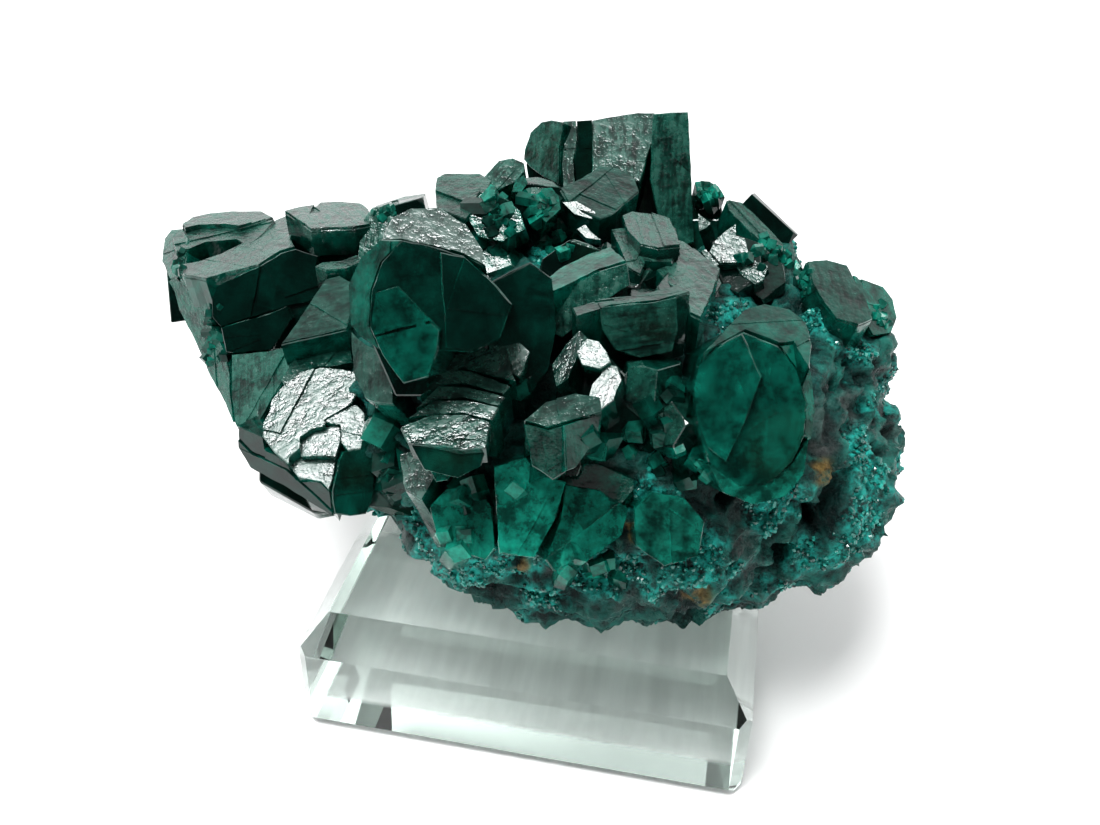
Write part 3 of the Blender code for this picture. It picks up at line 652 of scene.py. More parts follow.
def broken_edge(outline, chance, rough=0.07, pace=0.9):
    """The outline with the small unevenness of a natural edge."""
    points = []
    for here, there in zip(outline, outline[1:] + outline[:1]):
        run = there - here
        count = max(1, int(run.length / pace))
        aside = Vector((-run.y, run.x)).normalized() if run.length > 1e-6 else Vector((0, 0))
        for number in range(count):
            shift = chance.uniform(-rough, rough) if number else 0
            points.append(here + run * (number / count) + aside * shift)
    return points


def sees_all_round(outline, middle):
    """Whether every side of the outline can be seen from its middle."""
    arms = [point - middle for point in outline]
    return all(here.x * there.y - here.y * there.x > 0.01 for here, there in zip(arms, arms[1:] + arms[:1]))


def prism(outline, frame_of_face, top, bottom, bevel, tone, finish, along):
    """A closed solid under a flat outline, with a narrow bevel round its top."""
    middle = sum(outline, Vector((0, 0))) / len(outline)
    reach = max((point - middle).length for point in outline)
    inner = 1 - bevel / reach
    levels = [(top, inner), (top - bevel, 1.0), (bottom, 0.97)]
    # A middle ring on the top takes the finish's painted glow, the outer rings its rim glow
    if finish.glow != finish.rim and sees_all_round(outline, middle):
        levels.insert(0, (top, CORE_SHARE))
    form = bmesh.new()
    rings = []
    for height, scale in levels:
        ring = []
        for point in outline:
            flat = middle + (point - middle) * scale
            ring.append(form.verts.new((flat.x, flat.y, height)))
        rings.append(ring)
    count = len(outline)
    form.faces.new(rings[0])
    form.faces.new(list(reversed(rings[-1])))
    for upper, lower in zip(rings, rings[1:]):
        for number in range(count):
            following = (number + 1) % count
            form.faces.new((upper[following], upper[number], lower[number], lower[following]))
    form.normal_update()
    maps = add_maps(form)
    core = set(rings[0]) if len(levels) == 4 else ()
    deep = set(rings[-1])
    # Sides carry at least 0.35 painted emerald glow, and none at the bottom ring
    side = Finish(0.1 * finish.satin, 0.0, finish.glow, max(finish.rim, 0.35))
    for face in form.faces:
        if face.normal.z > 0.5:
            mark_face(face, maps, along, tone, finish, core)
        else:
            down = (Vector((0, 0, 1)) - face.normal * face.normal.z).normalized()
            mark_face(face, maps, down, tone, side, dark=deep)
    form.transform(frame_of_face)
    return form


Face = namedtuple("Face", "normal origin corners samples")


def slab_face(slab):
    """The plane of the slab's face, its corners in the world, and points spread over it, in mm."""
    normal = (CAMERA_MATRIX @ Vector(slab.facing)).normalized()
    middle = sum((Vector(point) for point in slab.outline), Vector((0, 0))) / len(slab.outline)
    origin = seen(*middle, slab.depth)

    def on_plane(across, down):
        ray = seen(across, down, 1) - CAMERA_PLACE
        return CAMERA_PLACE + ray * ((origin - CAMERA_PLACE).dot(normal) / ray.dot(normal))

    corners = [on_plane(*point) for point in slab.outline]
    samples = [origin]
    for share in (0.45, 0.85):
        samples += [on_plane(*middle.lerp(Vector(point), share)) for point in slab.outline]
    return Face(normal, origin, corners, samples)


def slab_solids(slab, face, chance):
    """The slab and the growth steps on its face."""
    normal, origin, corners, _ = face
    runs = [there - here for here, there in zip(corners, corners[1:] + corners[:1])]
    along = max(runs, key=lambda run: run.length).normalized()
    across = normal.cross(along)
    outline = [Vector(((corner - origin).dot(along), (corner - origin).dot(across))) for corner in corners]
    area = sum(here.x * there.y - there.x * here.y for here, there in zip(outline, outline[1:] + outline[:1])) / 2
    if area < 0:
        outline.reverse()
    turn = Matrix((along, across, normal)).transposed().to_4x4()
    placed = Matrix.Scale(MM, 4) @ Matrix.Translation(origin) @ turn
    tone = chance.random()
    size = math.sqrt(abs(area))
    bevel = min(0.12, 0.04 * size)
    line = Vector((1, 0, 0))
    edge = broken_edge(outline, chance)
    forms = [prism(edge, placed, 0, -slab.thick, bevel, tone, slab.finish, line)]
    for _ in range(slab.steps):
        height = chance.uniform(0.05, 0.22) * min(1.5, 0.25 * size)
        kept = outline
        for _ in range(chance.choice((1, 1, 2))):
            pick = chance.randrange(len(outline))
            run = (outline[(pick + 1) % len(outline)] - outline[pick]).normalized()
            outward = Vector((run.y, -run.x)) * chance.choice((1, 1, -1))
            furthest = max(point.dot(outward) for point in outline)
            nearest = min(point.dot(outward) for point in outline)
            share = chance.uniform(0.25, 0.85)
            kept = clip_outline(kept, outward * (nearest + share * (furthest - nearest)), outward)
            if len(kept) < 3:
                break
        if len(kept) < 3:
            continue
        centre = sum(kept, Vector((0, 0))) / len(kept)
        kept = [centre + (point - centre) * chance.uniform(0.96, 0.99) for point in kept]
        edge = broken_edge(kept, chance, 0.05, 0.7)
        forms.append(prism(edge, placed, height, -0.5 * slab.thick, 0.04, tone, slab.finish, line))
    return forms


def mesh_object(name, form, collection=None):
    mesh = bpy.data.meshes.new(name)
    form.to_mesh(mesh)
    form.free()
    piece = bpy.data.objects.new(name, mesh)
    (collection or bpy.context.scene.collection).objects.link(piece)
    return piece


def is_closed(form):
    return len(form.faces) > 3 and all(edge.is_manifold for edge in form.edges) and form.calc_volume() > 0


def joined(name, solids, solver="MANIFOLD"):
    """The union of all the solids as one object."""
    solids = [form for form in solids if is_closed(form)]
    others = bpy.data.collections.new("operands")
    bpy.context.scene.collection.children.link(others)
    for number, form in enumerate(solids[1:]):
        mesh_object(f"operand_{number}", form, others)
    start = mesh_object(name, solids[0])
    join = start.modifiers.new("join", "BOOLEAN")
    join.operation = "UNION"
    join.solver = solver
    join.operand_type = "COLLECTION"
    join.collection = others
    view = bpy.context.evaluated_depsgraph_get()
    mesh = bpy.data.meshes.new_from_object(start.evaluated_get(view))
    start.modifiers.clear()
    start.data = mesh
    for item in list(others.objects):
        bpy.data.objects.remove(item)
    bpy.data.collections.remove(others)
    return start


def smooth_step(value, low, high):
    share = min(1, max(0, (value - low) / (high - low)))
    return share * share * (3 - 2 * share)


def hit_from_camera(trees, across, down):
    """Where the camera's ray through the image point first meets one of the surfaces, and its normal."""
    start = CAMERA_PLACE * MM
    ray = (seen(across, down, 1) - CAMERA_PLACE).normalized()
    hits = [tree.ray_cast(start, ray) for tree in trees]
    hits = [hit for hit in hits if hit[0] is not None]
    if not hits:
        return None
    place, normal, _, _ = min(hits, key=lambda hit: hit[3])
    return place, normal if normal.dot(ray) < 0 else -normal


def tree_of(piece):
    mesh = piece.data
    return BVHTree.FromPolygons([corner.co for corner in mesh.vertices],
                                [tuple(face.vertices) for face in mesh.polygons])


def rock_mass():
    """The lumps of rock run together, then worn into ridges, nodules and hollows."""
    form = bmesh.new()
    for lump in ROCK:
        place = Matrix.Translation(Vector(lump.centre) * MM) @ Matrix.Diagonal((*(Vector(lump.half) * MM), 1))
        bmesh.ops.create_icosphere(form, subdivisions=5, radius=1, matrix=place)
    rock = mesh_object("matrix_rock", form)
    remesh = rock.modifiers.new("remesh", "REMESH")
    remesh.mode = "VOXEL"
    remesh.voxel_size = ROCK_VOXEL
    view = bpy.context.evaluated_depsgraph_get()
    mesh = bpy.data.meshes.new_from_object(rock.evaluated_get(view))
    rock.modifiers.clear()
    rock.data = mesh
    tree = tree_of(rock)
    patches = []
    for patch in PATCHES:
        hit = hit_from_camera([tree], *patch.place)
        if hit:
            patches.append((hit[0] / MM, patch.radius, patch.kind))
    form = bmesh.new()
    form.from_mesh(mesh)
    form.normal_update()
    kinds = []
    for corner in form.verts:
        place = corner.co / MM
        warp = noise.noise_vector(place / 5) * 1.4
        broad = noise.fractal(place / 9, 0.9, 2.0, 3)
        ridge = 1 - abs(noise.noise((place + warp * 2) / 5.6 + Vector((9, 2, 5)))) * 2.6
        folds = 1 - abs(noise.noise(Vector((place.x, place.y, place.z * 1.8)) / 3.8 + warp * 0.6)) * 2.4
        crag = noise.cell(place / 2.6 + Vector((3, 1, 7)) + warp * 0.3)
        fine = noise.fractal(place / 1.4, 0.7, 2.2, 4)
        teal = smooth_step(noise.fractal(place / 6.5 + Vector((4, 4, 4)), 0.9, 2.1, 4), 0.05, 0.45) * 0.9
        grey = smooth_step(noise.fractal(place / 8 + Vector((1, 9, 3)), 0.8, 2.0, 3), 0.1, 0.5) * 0.7
        ochre, hollow = 0.0, 0.0
        for centre, radius, kind in patches:
            distance = (place + warp * 0.5 - centre).length / radius
            if distance < 2:
                share = 1 - smooth_step(distance, 0.55, 1.25)
                teal = max(teal, share) if kind == "teal" else teal * (1 - share)
                grey = max(grey, share) if kind == "grey" else grey * (1 - share)
                ochre = max(ochre, share) if kind == "ochre" else ochre
                hollow = max(hollow, share) if kind == "hollow" else hollow
        nodule = 0.5 - noise.voronoi(place / 1.5 + warp * 0.2)[0][0]
        lift = 1.1 * broad + 1.1 * ridge + 0.9 * folds + 0.35 * crag + 0.2 * fine + 0.4 * teal * nodule
        lift -= 1.1 + 2.8 * hollow
        corner.co = (place + corner.normal * lift) * MM
        corner.co.z = max(corner.co.z, ROCK_REST)
        # The last value is how high the crests stand, used in the material for painted light on crests and painted
        # shade in creases
        kinds.append((teal, grey, ochre, smooth_step(ridge + folds, 0.6, 1.9)))
    form.to_mesh(mesh)
    form.free()
    colours = mesh.attributes.new("kinds", "FLOAT_COLOR", "POINT")
    colours.data.foreach_set("color", [value for kind in kinds for value in kind])
    for face in mesh.polygons:
        face.use_smooth = True
    return rock


def small_crystal(place, axis, across, length, spin, tone, glow, sheen):
    """One small six-sided crystal with a three-faced tip, centred on the place, as a closed solid in metres."""
    form = bmesh.new()
    bmesh.ops.create_cone(form, cap_ends=True, segments=6, radius1=across / 2, radius2=across / 2, depth=length)
    for corner in (90, 210, 330):
        around = math.radians(corner)
        level = math.sin(TIP_FACE_LEAN)
        normal = Vector((level * math.cos(around), level * math.sin(around), math.cos(TIP_FACE_LEAN)))
        geometry = form.verts[:] + form.edges[:] + form.faces[:]
        bmesh.ops.bisect_plane(form, geom=geometry, dist=1e-5, plane_co=(0, 0, length / 2),
                               plane_no=normal, clear_outer=True)
        rim = [edge for edge in form.edges if edge.is_boundary]
        if rim:
            bmesh.ops.contextual_create(form, geom=rim)
    form.normal_update()
    maps = add_maps(form)
    # No painted glow on the lower corners, so it fades towards the foot
    low = {corner for corner in form.verts if corner.co.z < -0.3 * length}
    for face in form.faces:
        along = Vector((0, 0, 1)) - face.normal * face.normal.z
        along = along.normalized() if along.length > 0.01 else Vector((1, 0, 0))
        # Top faces take the full sheen and the sides less, lightening their colour partly as a painted sheen
        satin = sheen * (1.0 if face.normal.z > 0.3 else 0.3)
        mark_face(face, maps, along, tone, Finish(satin, 0.1 * satin, glow, glow), dark=low)
    turn = axis.to_track_quat("Z", "Y").to_matrix().to_4x4() @ Matrix.Rotation(spin, 4, "Z")
    form.transform(Matrix.Scale(MM, 4) @ Matrix.Translation(place / MM) @ turn)
    return form


def cluster_solids(trees):
    """The groups of small crystals, each standing on what the camera sees at its place."""
    chance = random.Random(GROWTH_SEED + 1)
    forms = []
    for cluster in CLUSTERS:
        for _ in range(cluster.count):
            across = cluster.place[0] + chance.gauss(0, 0.5) * cluster.spread[0]
            down = cluster.place[1] + chance.gauss(0, 0.5) * cluster.spread[1]
            size = chance.uniform(*cluster.across)
            length = size * chance.uniform(1.1, 2.2)
            wander = Vector([chance.uniform(-0.5, 0.5) for _ in range(3)])
            spin, tone, glow = chance.uniform(0, math.pi), chance.random(), chance.uniform(*cluster.glow)
            sheen = chance.choice((0.05, 0.1, 0.25))
            hit = hit_from_camera(trees, across, down)
            if hit is None:
                continue
            place, normal = hit
            axis = (normal + wander + Vector((0, 0, 0.35))).normalized()
            foot = place - axis * (0.5 * length - 0.45 * size) * MM
            forms.append(small_crystal(foot, axis, size, length, spin, tone, glow, sheen))
    return forms


def druse(rock):
    """Thousands of tiny crystals on the teal patches of the rock, as one mesh."""
    chance = random.Random(DRUSE_SEED)
    mesh = rock.data
    kinds = mesh.attributes["kinds"].data
    faces = []
    weights = []
    for face in mesh.polygons:
        teal = sum(kinds[corner].color[0] for corner in face.vertices) / len(face.vertices)
        if face.center.z > ROCK_REST + 0.5 * MM:
            faces.append(face)
            weights.append(face.area * max(0.0, teal - 0.3) ** 1.5)
    corners, sides, tones = [], [], []
    for face in chance.choices(faces, weights, k=DRUSE_COUNT):
        points = [mesh.vertices[corner].co for corner in face.vertices]
        place = points[0].lerp(points[2], chance.random()).lerp(points[1], 0.5 * chance.random())
        axis = (face.normal + Vector([chance.uniform(-0.6, 0.6) for _ in range(3)])).normalized()
        across = chance.uniform(*DRUSE_ACROSS) * MM
        length = across * chance.uniform(0.7, 1.5)
        side = axis.orthogonal().normalized()
        side.rotate(Quaternion(axis, chance.uniform(0, math.pi)))
        first = len(corners)
        tone = chance.random()
        for height in (-0.5, 0.25):
            for number in range(6):
                arm = side.copy()
                arm.rotate(Quaternion(axis, math.radians(60 * number)))
                corners.append(place + axis * height * length + arm * across * 0.5)
        corners.append(place + axis * 0.6 * length)
        for number in range(6):
            following = (number + 1) % 6
            sides.append((first + number, first + following, first + 6 + following, first + 6 + number))
            sides.append((first + 6 + number, first + 6 + following, first + 12))
        sides.append(tuple(first + 5 - number for number in range(6)))
        tones += [tone] * 13
    grains = bpy.data.meshes.new("druse")
    grains.from_pydata(corners, [], sides)
    shade = grains.attributes.new("tone", "FLOAT", "POINT")
    shade.data.foreach_set("value", tones)
    piece = bpy.data.objects.new("druse", grains)
    bpy.context.scene.collection.objects.link(piece)
    return piece


class Nodes:
    """A small helper that adds shader nodes and links them in one line."""

    def __init__(self, material):
        material.use_nodes = True
        self.tree = material.node_tree
        self.shader = self.tree.nodes["Principled BSDF"]
        self.output = self.tree.nodes["Material Output"]

    def add(self, kind, inputs=(), **settings):
        node = self.tree.nodes.new(kind)
        for name, value in settings.items():
            setattr(node, name, value)
        for name, value in dict(inputs).items():
            self.set(node, name, value)
        return node

    def set(self, node, name, value):
        socket = node.inputs[name]
        if isinstance(value, bpy.types.NodeSocket):
            self.tree.links.new(value, socket)
        else:
            socket.default_value = value

    def maths(self, operation, first, second=0.0, third=0.0, clamp=False):
        node = self.add("ShaderNodeMath", {0: first, 1: second, 2: third}, operation=operation, use_clamp=clamp)
        return node.outputs[0]

    def spread(self, value, low, high, start=0.0, end=1.0):
        ports = {"Value": value, "From Min": low, "From Max": high, "To Min": start, "To Max": end}
        return self.add("ShaderNodeMapRange", ports).outputs["Result"]

    def mix(self, share, first, second):
        node = self.add("ShaderNodeMix", data_type="RGBA")
        self.set(node, 0, share)
        self.set(node, 6, first)
        self.set(node, 7, second)
        return node.outputs[2]

    def speckle(self, where, scale, detail=3.0, rough=0.55, distortion=0.0):
        ports = {"Vector": where, "Scale": scale, "Detail": detail, "Roughness": rough, "Distortion": distortion}
        return self.add("ShaderNodeTexNoise", ports).outputs["Fac"]

    def stretch(self, where, scale):
        return self.add("ShaderNodeVectorMath", {0: where, 1: scale}, operation="MULTIPLY").outputs[0]


def dioptase_material(name, clearness):
    """Deep green crystal: clear where it is thin, nearly black where it is thick, with grown lines and a painted
    emerald glow.
    """
    material = bpy.data.materials.new(name)
    graph = Nodes(material)
    shader = graph.shader
    growth = graph.add("ShaderNodeUVMap", uv_map="growth").outputs["UV"]
    finish = graph.add("ShaderNodeUVMap", uv_map="finish").outputs["UV"]
    light = graph.add("ShaderNodeUVMap", uv_map="light").outputs["UV"]
    finish_parts = graph.add("ShaderNodeSeparateXYZ", {"Vector": finish}).outputs
    light_parts = graph.add("ShaderNodeSeparateXYZ", {"Vector": light}).outputs
    satin, frost = finish_parts["X"], finish_parts["Y"]
    glow, tone = light_parts["X"], light_parts["Y"]
    place = graph.add("ShaderNodeTexCoord").outputs["Object"]

    # Veils and clouds inside the crystal
    veil = graph.spread(graph.speckle(place, 260, 4, 0.6, 0.6), 0.46, 0.74)
    veil = graph.maths("MULTIPLY", veil, graph.spread(tone, 0, 1, 0.15, 1.0))
    body = graph.mix(veil, (0.0006, 0.012, 0.009, 1), (0.002, 0.085, 0.062, 1))
    olive = graph.spread(graph.speckle(place, 90, 2), 0.6, 0.75, 0, 0.5)
    body = graph.mix(olive, body, (0.012, 0.03, 0.014, 1))
    # Painted glow: bright emerald painted into the base colour where faces are marked to glow, in place of light
    # through thin parts
    painted_glow_share = graph.maths("MULTIPLY", glow, graph.spread(graph.speckle(place, 420, 5, 0.7), 0.40, 0.64, 0.12, 1.0))
    body = graph.mix(painted_glow_share, body, (0.010, 0.50, 0.36, 1))

    # Satin faces are etched and powdered in patches and streaks, their colour lightened partly as a painted sheen;
    # the others keep their gloss
    etched = graph.speckle(place, 1500, 3, 0.65)
    streaks = graph.speckle(graph.stretch(growth, (0.25, 1.6, 1)), 1.0, 3, 0.7)
    blotches = graph.speckle(place, 420, 4, 0.7)
    powder = graph.maths("ADD", graph.maths("ADD", streaks, blotches), graph.maths("MULTIPLY", etched, 0.6))
    powder = graph.spread(powder, 1.14, 1.48)
    dust_and_painted_sheen = graph.maths("MULTIPLY", satin, powder)
    body = graph.mix(dust_and_painted_sheen, body, (0.010, 0.15, 0.108, 1))
    # Pale frost painted into the colour: partly the etch of the face, partly a painted highlight on faces that
    # catch the softbox
    frosted_and_painted_sheen = graph.maths("MULTIPLY", frost, graph.spread(blotches, 0.38, 0.6, 0.35, 1.0))
    body = graph.mix(frosted_and_painted_sheen, body, (0.27, 0.36, 0.33, 1))
    graph.set(shader, "Base Color", body)
    rough = graph.spread(dust_and_painted_sheen, 0, 1, 0.07, 0.42)
    rough = graph.maths("ADD", rough, graph.spread(etched, 0.3, 0.7, -0.03, 0.07))
    graph.set(shader, "Roughness", rough)
    shader.inputs["IOR"].default_value = 1.66
    shader.inputs["Specular IOR Level"].default_value = 0.36 if clearness > 0 else 0.16
    shader.inputs["Transmission Weight"].default_value = clearness

    # Growth lines along each face, low waves, and the pits of etched faces
    lines = graph.speckle(graph.stretch(growth, (0.12, 3.2, 1)), 1.0, 2, 0.65)
    coarse = graph.speckle(graph.stretch(growth, (0.10, 0.7, 1)), 1.0, 2, 0.6)
    relief = graph.maths("ADD", graph.maths("MULTIPLY", lines, 0.2), graph.maths("MULTIPLY", coarse, 0.55))
    pits = graph.maths("MULTIPLY", etched, graph.spread(satin, 0, 1, 0.05, 0.7))
    waves = graph.maths("MULTIPLY", blotches, 2.2)
    relief = graph.maths("ADD", graph.maths("ADD", relief, pits), waves)
    relief = graph.maths("MULTIPLY", relief, graph.spread(satin, 0, 0.7, 0.22, 1.0))
    bump = graph.add("ShaderNodeBump", {"Strength": 0.9, "Distance": 0.00012, "Height": relief})
    graph.set(shader, "Normal", bump.outputs["Normal"])

    # Light dies away quickly inside, red first
    if clearness > 0:
        ports = {"Color": (0.05, 0.83, 0.74, 1), "Density": 1800.0}
        depth = graph.add("ShaderNodeVolumeAbsorption", ports)
        graph.set(graph.output, "Volume", depth.outputs["Volume"])
    return material


def rock_material():
    """The rock: purple-grey stone with teal and ochre crusts, and painted light and shade from its relief."""
    material = bpy.data.materials.new("matrix_rock")
    graph = Nodes(material)
    shader = graph.shader
    place = graph.add("ShaderNodeTexCoord").outputs["Object"]
    kinds = graph.add("ShaderNodeAttribute", attribute_name="kinds")
    parts = graph.add("ShaderNodeSeparateXYZ", {"Vector": kinds.outputs["Vector"]}).outputs
    teal_share, grey_share, ochre_share = parts["X"], parts["Y"], parts["Z"]
    ridge_share = kinds.outputs["Alpha"]
    grains = graph.speckle(place, 900, 5, 0.68)
    clouds = graph.speckle(place, 330, 5, 0.7, 0.4)
    grain_share = graph.spread(grains, 0.36, 0.64)
    dark = graph.mix(grain_share, (0.001, 0.012, 0.012, 1), (0.005, 0.075, 0.065, 1))
    green = graph.mix(grain_share, (0.003, 0.05, 0.042, 1), (0.012, 0.17, 0.14, 1))
    colour = graph.mix(graph.spread(clouds, 0.42, 0.6), dark, green)
    # Painted light and shade from the relief: the crests lightened and the creases between folds darkened nearly to
    # black
    ridge = graph.maths("MULTIPLY", ridge_share, graph.spread(clouds, 0.35, 0.65, 0.1, 0.55))
    colour = graph.mix(ridge, colour, (0.02, 0.13, 0.10, 1))
    painted_crease_shade = graph.spread(ridge_share, 0.0, 0.35, 0.75, 0.0)
    colour = graph.mix(painted_crease_shade, colour, (0.001, 0.008, 0.008, 1))
    stone = graph.mix(grain_share, (0.014, 0.020, 0.020, 1), (0.075, 0.085, 0.082, 1))
    stone_share = graph.maths("MULTIPLY", grey_share, graph.spread(clouds, 0.4, 0.55))
    colour = graph.mix(stone_share, colour, stone)
    teal = graph.mix(grain_share, (0.004, 0.13, 0.115, 1), (0.025, 0.42, 0.36, 1))
    crust = graph.maths("MULTIPLY", teal_share, graph.spread(grains, 0.38, 0.56))
    colour = graph.mix(crust, colour, teal)
    rust = graph.mix(grain_share, (0.05, 0.03, 0.012, 1), (0.24, 0.17, 0.06, 1))
    rust_share = graph.maths("MULTIPLY", ochre_share, graph.spread(clouds, 0.4, 0.52))
    colour = graph.mix(rust_share, colour, rust)
    graph.set(shader, "Base Color", colour)
    graph.set(shader, "Roughness", graph.spread(grains, 0.3, 0.7, 0.16, 0.5))
    shader.inputs["IOR"].default_value = 1.6
    shader.inputs["Specular IOR Level"].default_value = 0.18
    relief = graph.maths("ADD", graph.speckle(place, 2400, 5, 0.7), graph.maths("MULTIPLY", grains, 2.2))
    bump = graph.add("ShaderNodeBump", {"Strength": 1.0, "Distance": 0.00022, "Height": relief})
    graph.set(shader, "Normal", bump.outputs["Normal"])
    return material


def druse_material():
    """The tiny crystals: bright teal to deep green, each in its own shade."""
    material = bpy.data.materials.new("druse")
    graph = Nodes(material)
    shader = graph.shader
    tone = graph.add("ShaderNodeAttribute", attribute_name="tone").outputs["Fac"]
    place = graph.add("ShaderNodeTexCoord").outputs["Object"]
    clouds = graph.speckle(place, 240, 3)
    share = graph.maths("MULTIPLY", tone, graph.spread(clouds, 0.35, 0.6, 0.3, 1.0))
    colour = graph.mix(share, (0.002, 0.045, 0.037, 1), (0.02, 0.34, 0.28, 1))
    graph.set(shader, "Base Color", colour)
    graph.set(shader, "Roughness", graph.spread(tone, 0, 1, 0.1, 0.35))
    shader.inputs["IOR"].default_value = 1.66
    return material


def glass_material():
    """The polished block: clear, with the faint green of thick glass."""
    material = bpy.data.materials.new("clear_glass")
    graph = Nodes(material)
    shader = graph.shader
    shader.inputs["Base Color"].default_value = (1, 1, 1, 1)
    shader.inputs["IOR"].default_value = 1.5
    place = graph.add("ShaderNodeTexCoord").outputs["Object"]
    # The underside turns pale and partly diffuse in a band, a painted pale strip in place of light seen through the
    # block
    parts = graph.add("ShaderNodeSeparateXYZ", {"Vector": place}).outputs
    pale_band_mottle = graph.speckle(graph.stretch(place, (1, 0.12, 1)), 320, 4, 0.6)
    band = graph.maths("MULTIPLY", graph.spread(parts["Y"], -0.0165, -0.015, 0.0, 1.0),
                       graph.spread(parts["Y"], -0.004, 0.003, 1.0, 0.0))
    painted_pale_band = graph.maths("MULTIPLY", band, graph.spread(parts["Z"], 0.00005, 0.0002, 1.0, 0.0))
    painted_pale_band = graph.maths("MULTIPLY", painted_pale_band, graph.spread(pale_band_mottle, 0.35, 0.65, 0.82, 0.96))
    graph.set(shader, "Transmission Weight", graph.maths("SUBTRACT", 0.99, painted_pale_band))
    wear = graph.speckle(place, 600, 4, 0.7)
    graph.set(shader, "Roughness", graph.spread(wear, 0.55, 0.8, 0.0, 0.04))
    ports = {"Color": (0.60, 0.95, 0.80, 1), "Density": 8.0}
    depth = graph.add("ShaderNodeVolumeAbsorption", ports)
    graph.set(graph.output, "Volume", depth.outputs["Volume"])
    return material


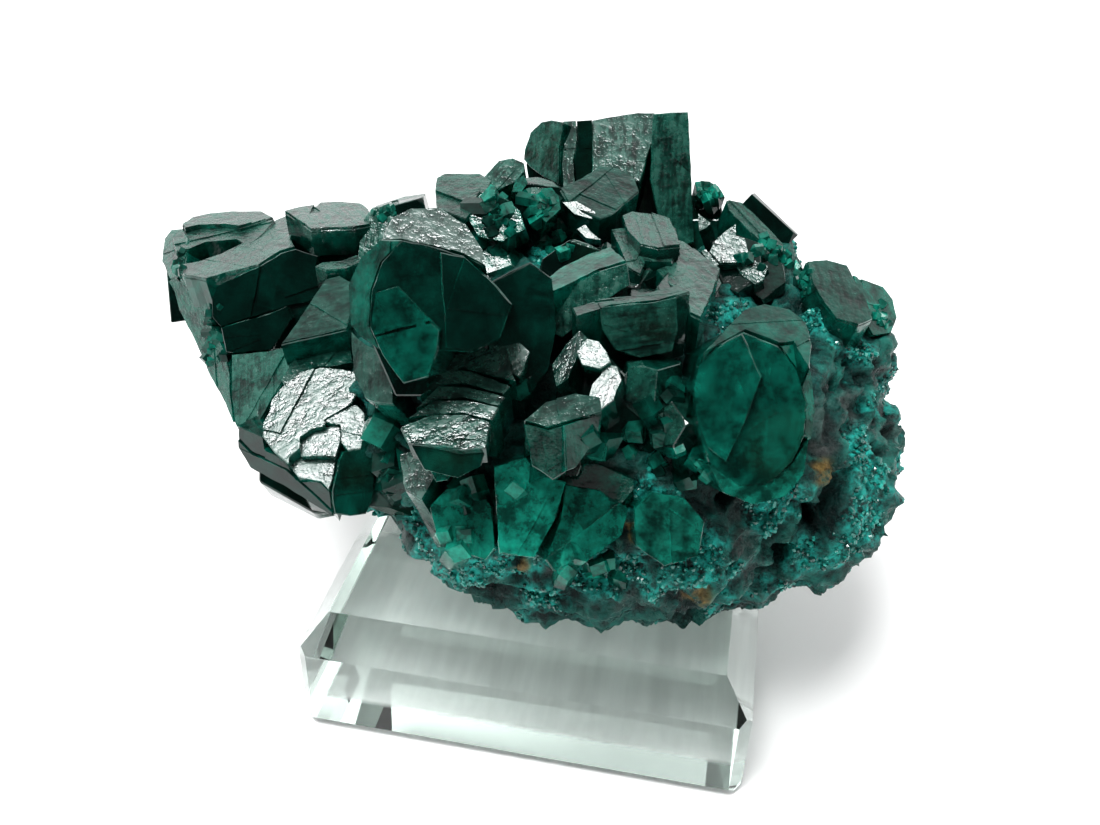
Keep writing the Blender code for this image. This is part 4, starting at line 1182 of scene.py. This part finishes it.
def add_stage():
    """Plain pale floor, a soft light overhead and a pale room that is darker behind the camera."""
    form = bmesh.new()
    bmesh.ops.create_circle(form, cap_ends=True, segments=96, radius=3)
    bmesh.ops.translate(form, vec=(0, 0, -0.0001), verts=form.verts)
    floor = mesh_object("floor", form)
    material = bpy.data.materials.new("floor")
    graph = Nodes(material)
    graph.shader.inputs["Base Color"].default_value = (0.93, 0.93, 0.93, 1)
    graph.shader.inputs["Roughness"].default_value = 0.9
    floor.data.materials.append(material)

    light = bpy.data.lights.new("softbox", "AREA")
    light.shape = "RECTANGLE"
    light.size = 0.28
    light.size_y = 0.28
    light.energy = 4.8
    lamp = bpy.data.objects.new("softbox", light)
    aim = Vector((-5, -10, 45)) * MM
    direction = Vector((-0.18, -0.305, 0.936)).normalized()
    lamp.location = aim + direction * 0.6
    lamp.rotation_euler = direction.to_track_quat("Z", "Y").to_euler()
    bpy.context.scene.collection.objects.link(lamp)

    world = bpy.data.worlds.new("room")
    bpy.context.scene.world = world
    world.use_nodes = True
    tree = world.node_tree
    sky = tree.nodes["Background"]
    where = tree.nodes.new("ShaderNodeTexCoord")
    links = tree.links

    def measure(kind, ports, **settings):
        node = tree.nodes.new(kind)
        for name, value in settings.items():
            setattr(node, name, value)
        for name, value in ports.items():
            if isinstance(value, bpy.types.NodeSocket):
                links.new(value, node.inputs[name])
            else:
                node.inputs[name].default_value = value
        return node.outputs[0]

    def shade(value, low, high, start, end):
        ports = {"Value": value, "From Min": low, "From Max": high, "To Min": start, "To Max": end}
        return measure("ShaderNodeMapRange", ports, interpolation_type="SMOOTHSTEP")

    direction = where.outputs["Generated"]
    parts = tree.nodes.new("ShaderNodeSeparateXYZ")
    links.new(direction, parts.inputs[0])
    level = measure("ShaderNodeVectorMath", {0: direction, 1: (1, 1, 0)}, operation="MULTIPLY")
    level = measure("ShaderNodeVectorMath", {0: level}, operation="NORMALIZE")
    front = Vector((0.1, -1, 0)).normalized()
    facing = tree.nodes.new("ShaderNodeVectorMath")
    facing.operation = "DOT_PRODUCT"
    facing.inputs[1].default_value = front
    links.new(level, facing.inputs[0])
    near = shade(facing.outputs["Value"], 0.25, 0.65, 0.0, 1.0)
    above = shade(parts.outputs["Z"], 0.08, 0.2, 0.0, 1.0)
    below = shade(parts.outputs["Z"], 0.57, 0.68, 1.0, 0.0)
    dark = measure("ShaderNodeMath", {0: near, 1: above}, operation="MULTIPLY")
    dark = measure("ShaderNodeMath", {0: dark, 1: below}, operation="MULTIPLY")
    wall = shade(parts.outputs["Y"], -0.5, 0.6, 0.5, 1.4)
    ceiling = shade(parts.outputs["Z"], 0.62, 0.82, 1.0, 0.5)
    room = measure("ShaderNodeMath", {0: wall, 1: ceiling}, operation="MULTIPLY")
    horizon = shade(parts.outputs["Z"], 0.1, 0.32, 1.4, 0.0)
    room = measure("ShaderNodeMath", {0: room, 1: horizon}, operation="MAXIMUM")
    keep = measure("ShaderNodeMath", {0: 1.0, 1: dark}, operation="SUBTRACT")
    room = measure("ShaderNodeMath", {0: room, 1: keep}, operation="MULTIPLY")
    room = measure("ShaderNodeMath", {0: room, 1: 0.04}, operation="ADD")
    links.new(room, sky.inputs["Strength"])
    sky.inputs["Color"].default_value = (1, 1, 1, 1)


def add_camera():
    camera = bpy.data.cameras.new("camera")
    camera.sensor_width = CAMERA_SENSOR
    camera.lens = FOCAL_PIXELS * CAMERA_SENSOR / IMAGE_WIDTH
    camera.clip_start = 1 * MM
    camera.clip_end = 20
    holder = bpy.data.objects.new("camera", camera)
    holder.location = CAMERA_PLACE * MM
    holder.rotation_euler = Euler(CAMERA_TURN, "XYZ")
    bpy.context.scene.collection.objects.link(holder)
    bpy.context.scene.camera = holder


def finish_piece(piece, material):
    """Gives the piece its material, attaches it to the root body and hides the CAD dioptase_cluster."""
    piece.data.materials.clear()
    piece.data.materials.append(material)
    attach(piece, "root")
    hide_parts("dioptase_cluster")


chance = random.Random(GROWTH_SEED)
faces = [slab_face(slab) for slab in SLABS]
solids = []
for crystal in [*CRYSTALS, *crust_crystals()]:
    solids += crystal_solids(crystal, chance, faces)
for slab, face in zip(SLABS, faces):
    solids += slab_solids(slab, face, chance)
print("solids", len(solids), "not closed", sum(not is_closed(form) for form in solids))
crystals = joined("crystals", solids)
rock = rock_mass()
small = joined("small_crystals", cluster_solids([tree_of(crystals), tree_of(rock)]))
grains = druse(rock)
finish_piece(crystals, dioptase_material("dioptase", 0.4))
finish_piece(small, dioptase_material("dioptase_small", 0.0))
finish_piece(rock, rock_material())
finish_piece(grains, druse_material())

block = frame["nodes"]["glass_block"]
block.data.materials.clear()
block.data.materials.append(glass_material())

add_stage()
add_camera()
bpy.context.scene.view_settings.view_transform = "Standard"
bpy.context.scene.view_settings.look = "Medium High Contrast"
for item in bpy.data.objects:
    if item.type == "MESH":
        print("triangles", item.name, sum(len(face.vertices) - 2 for face in item.data.polygons))
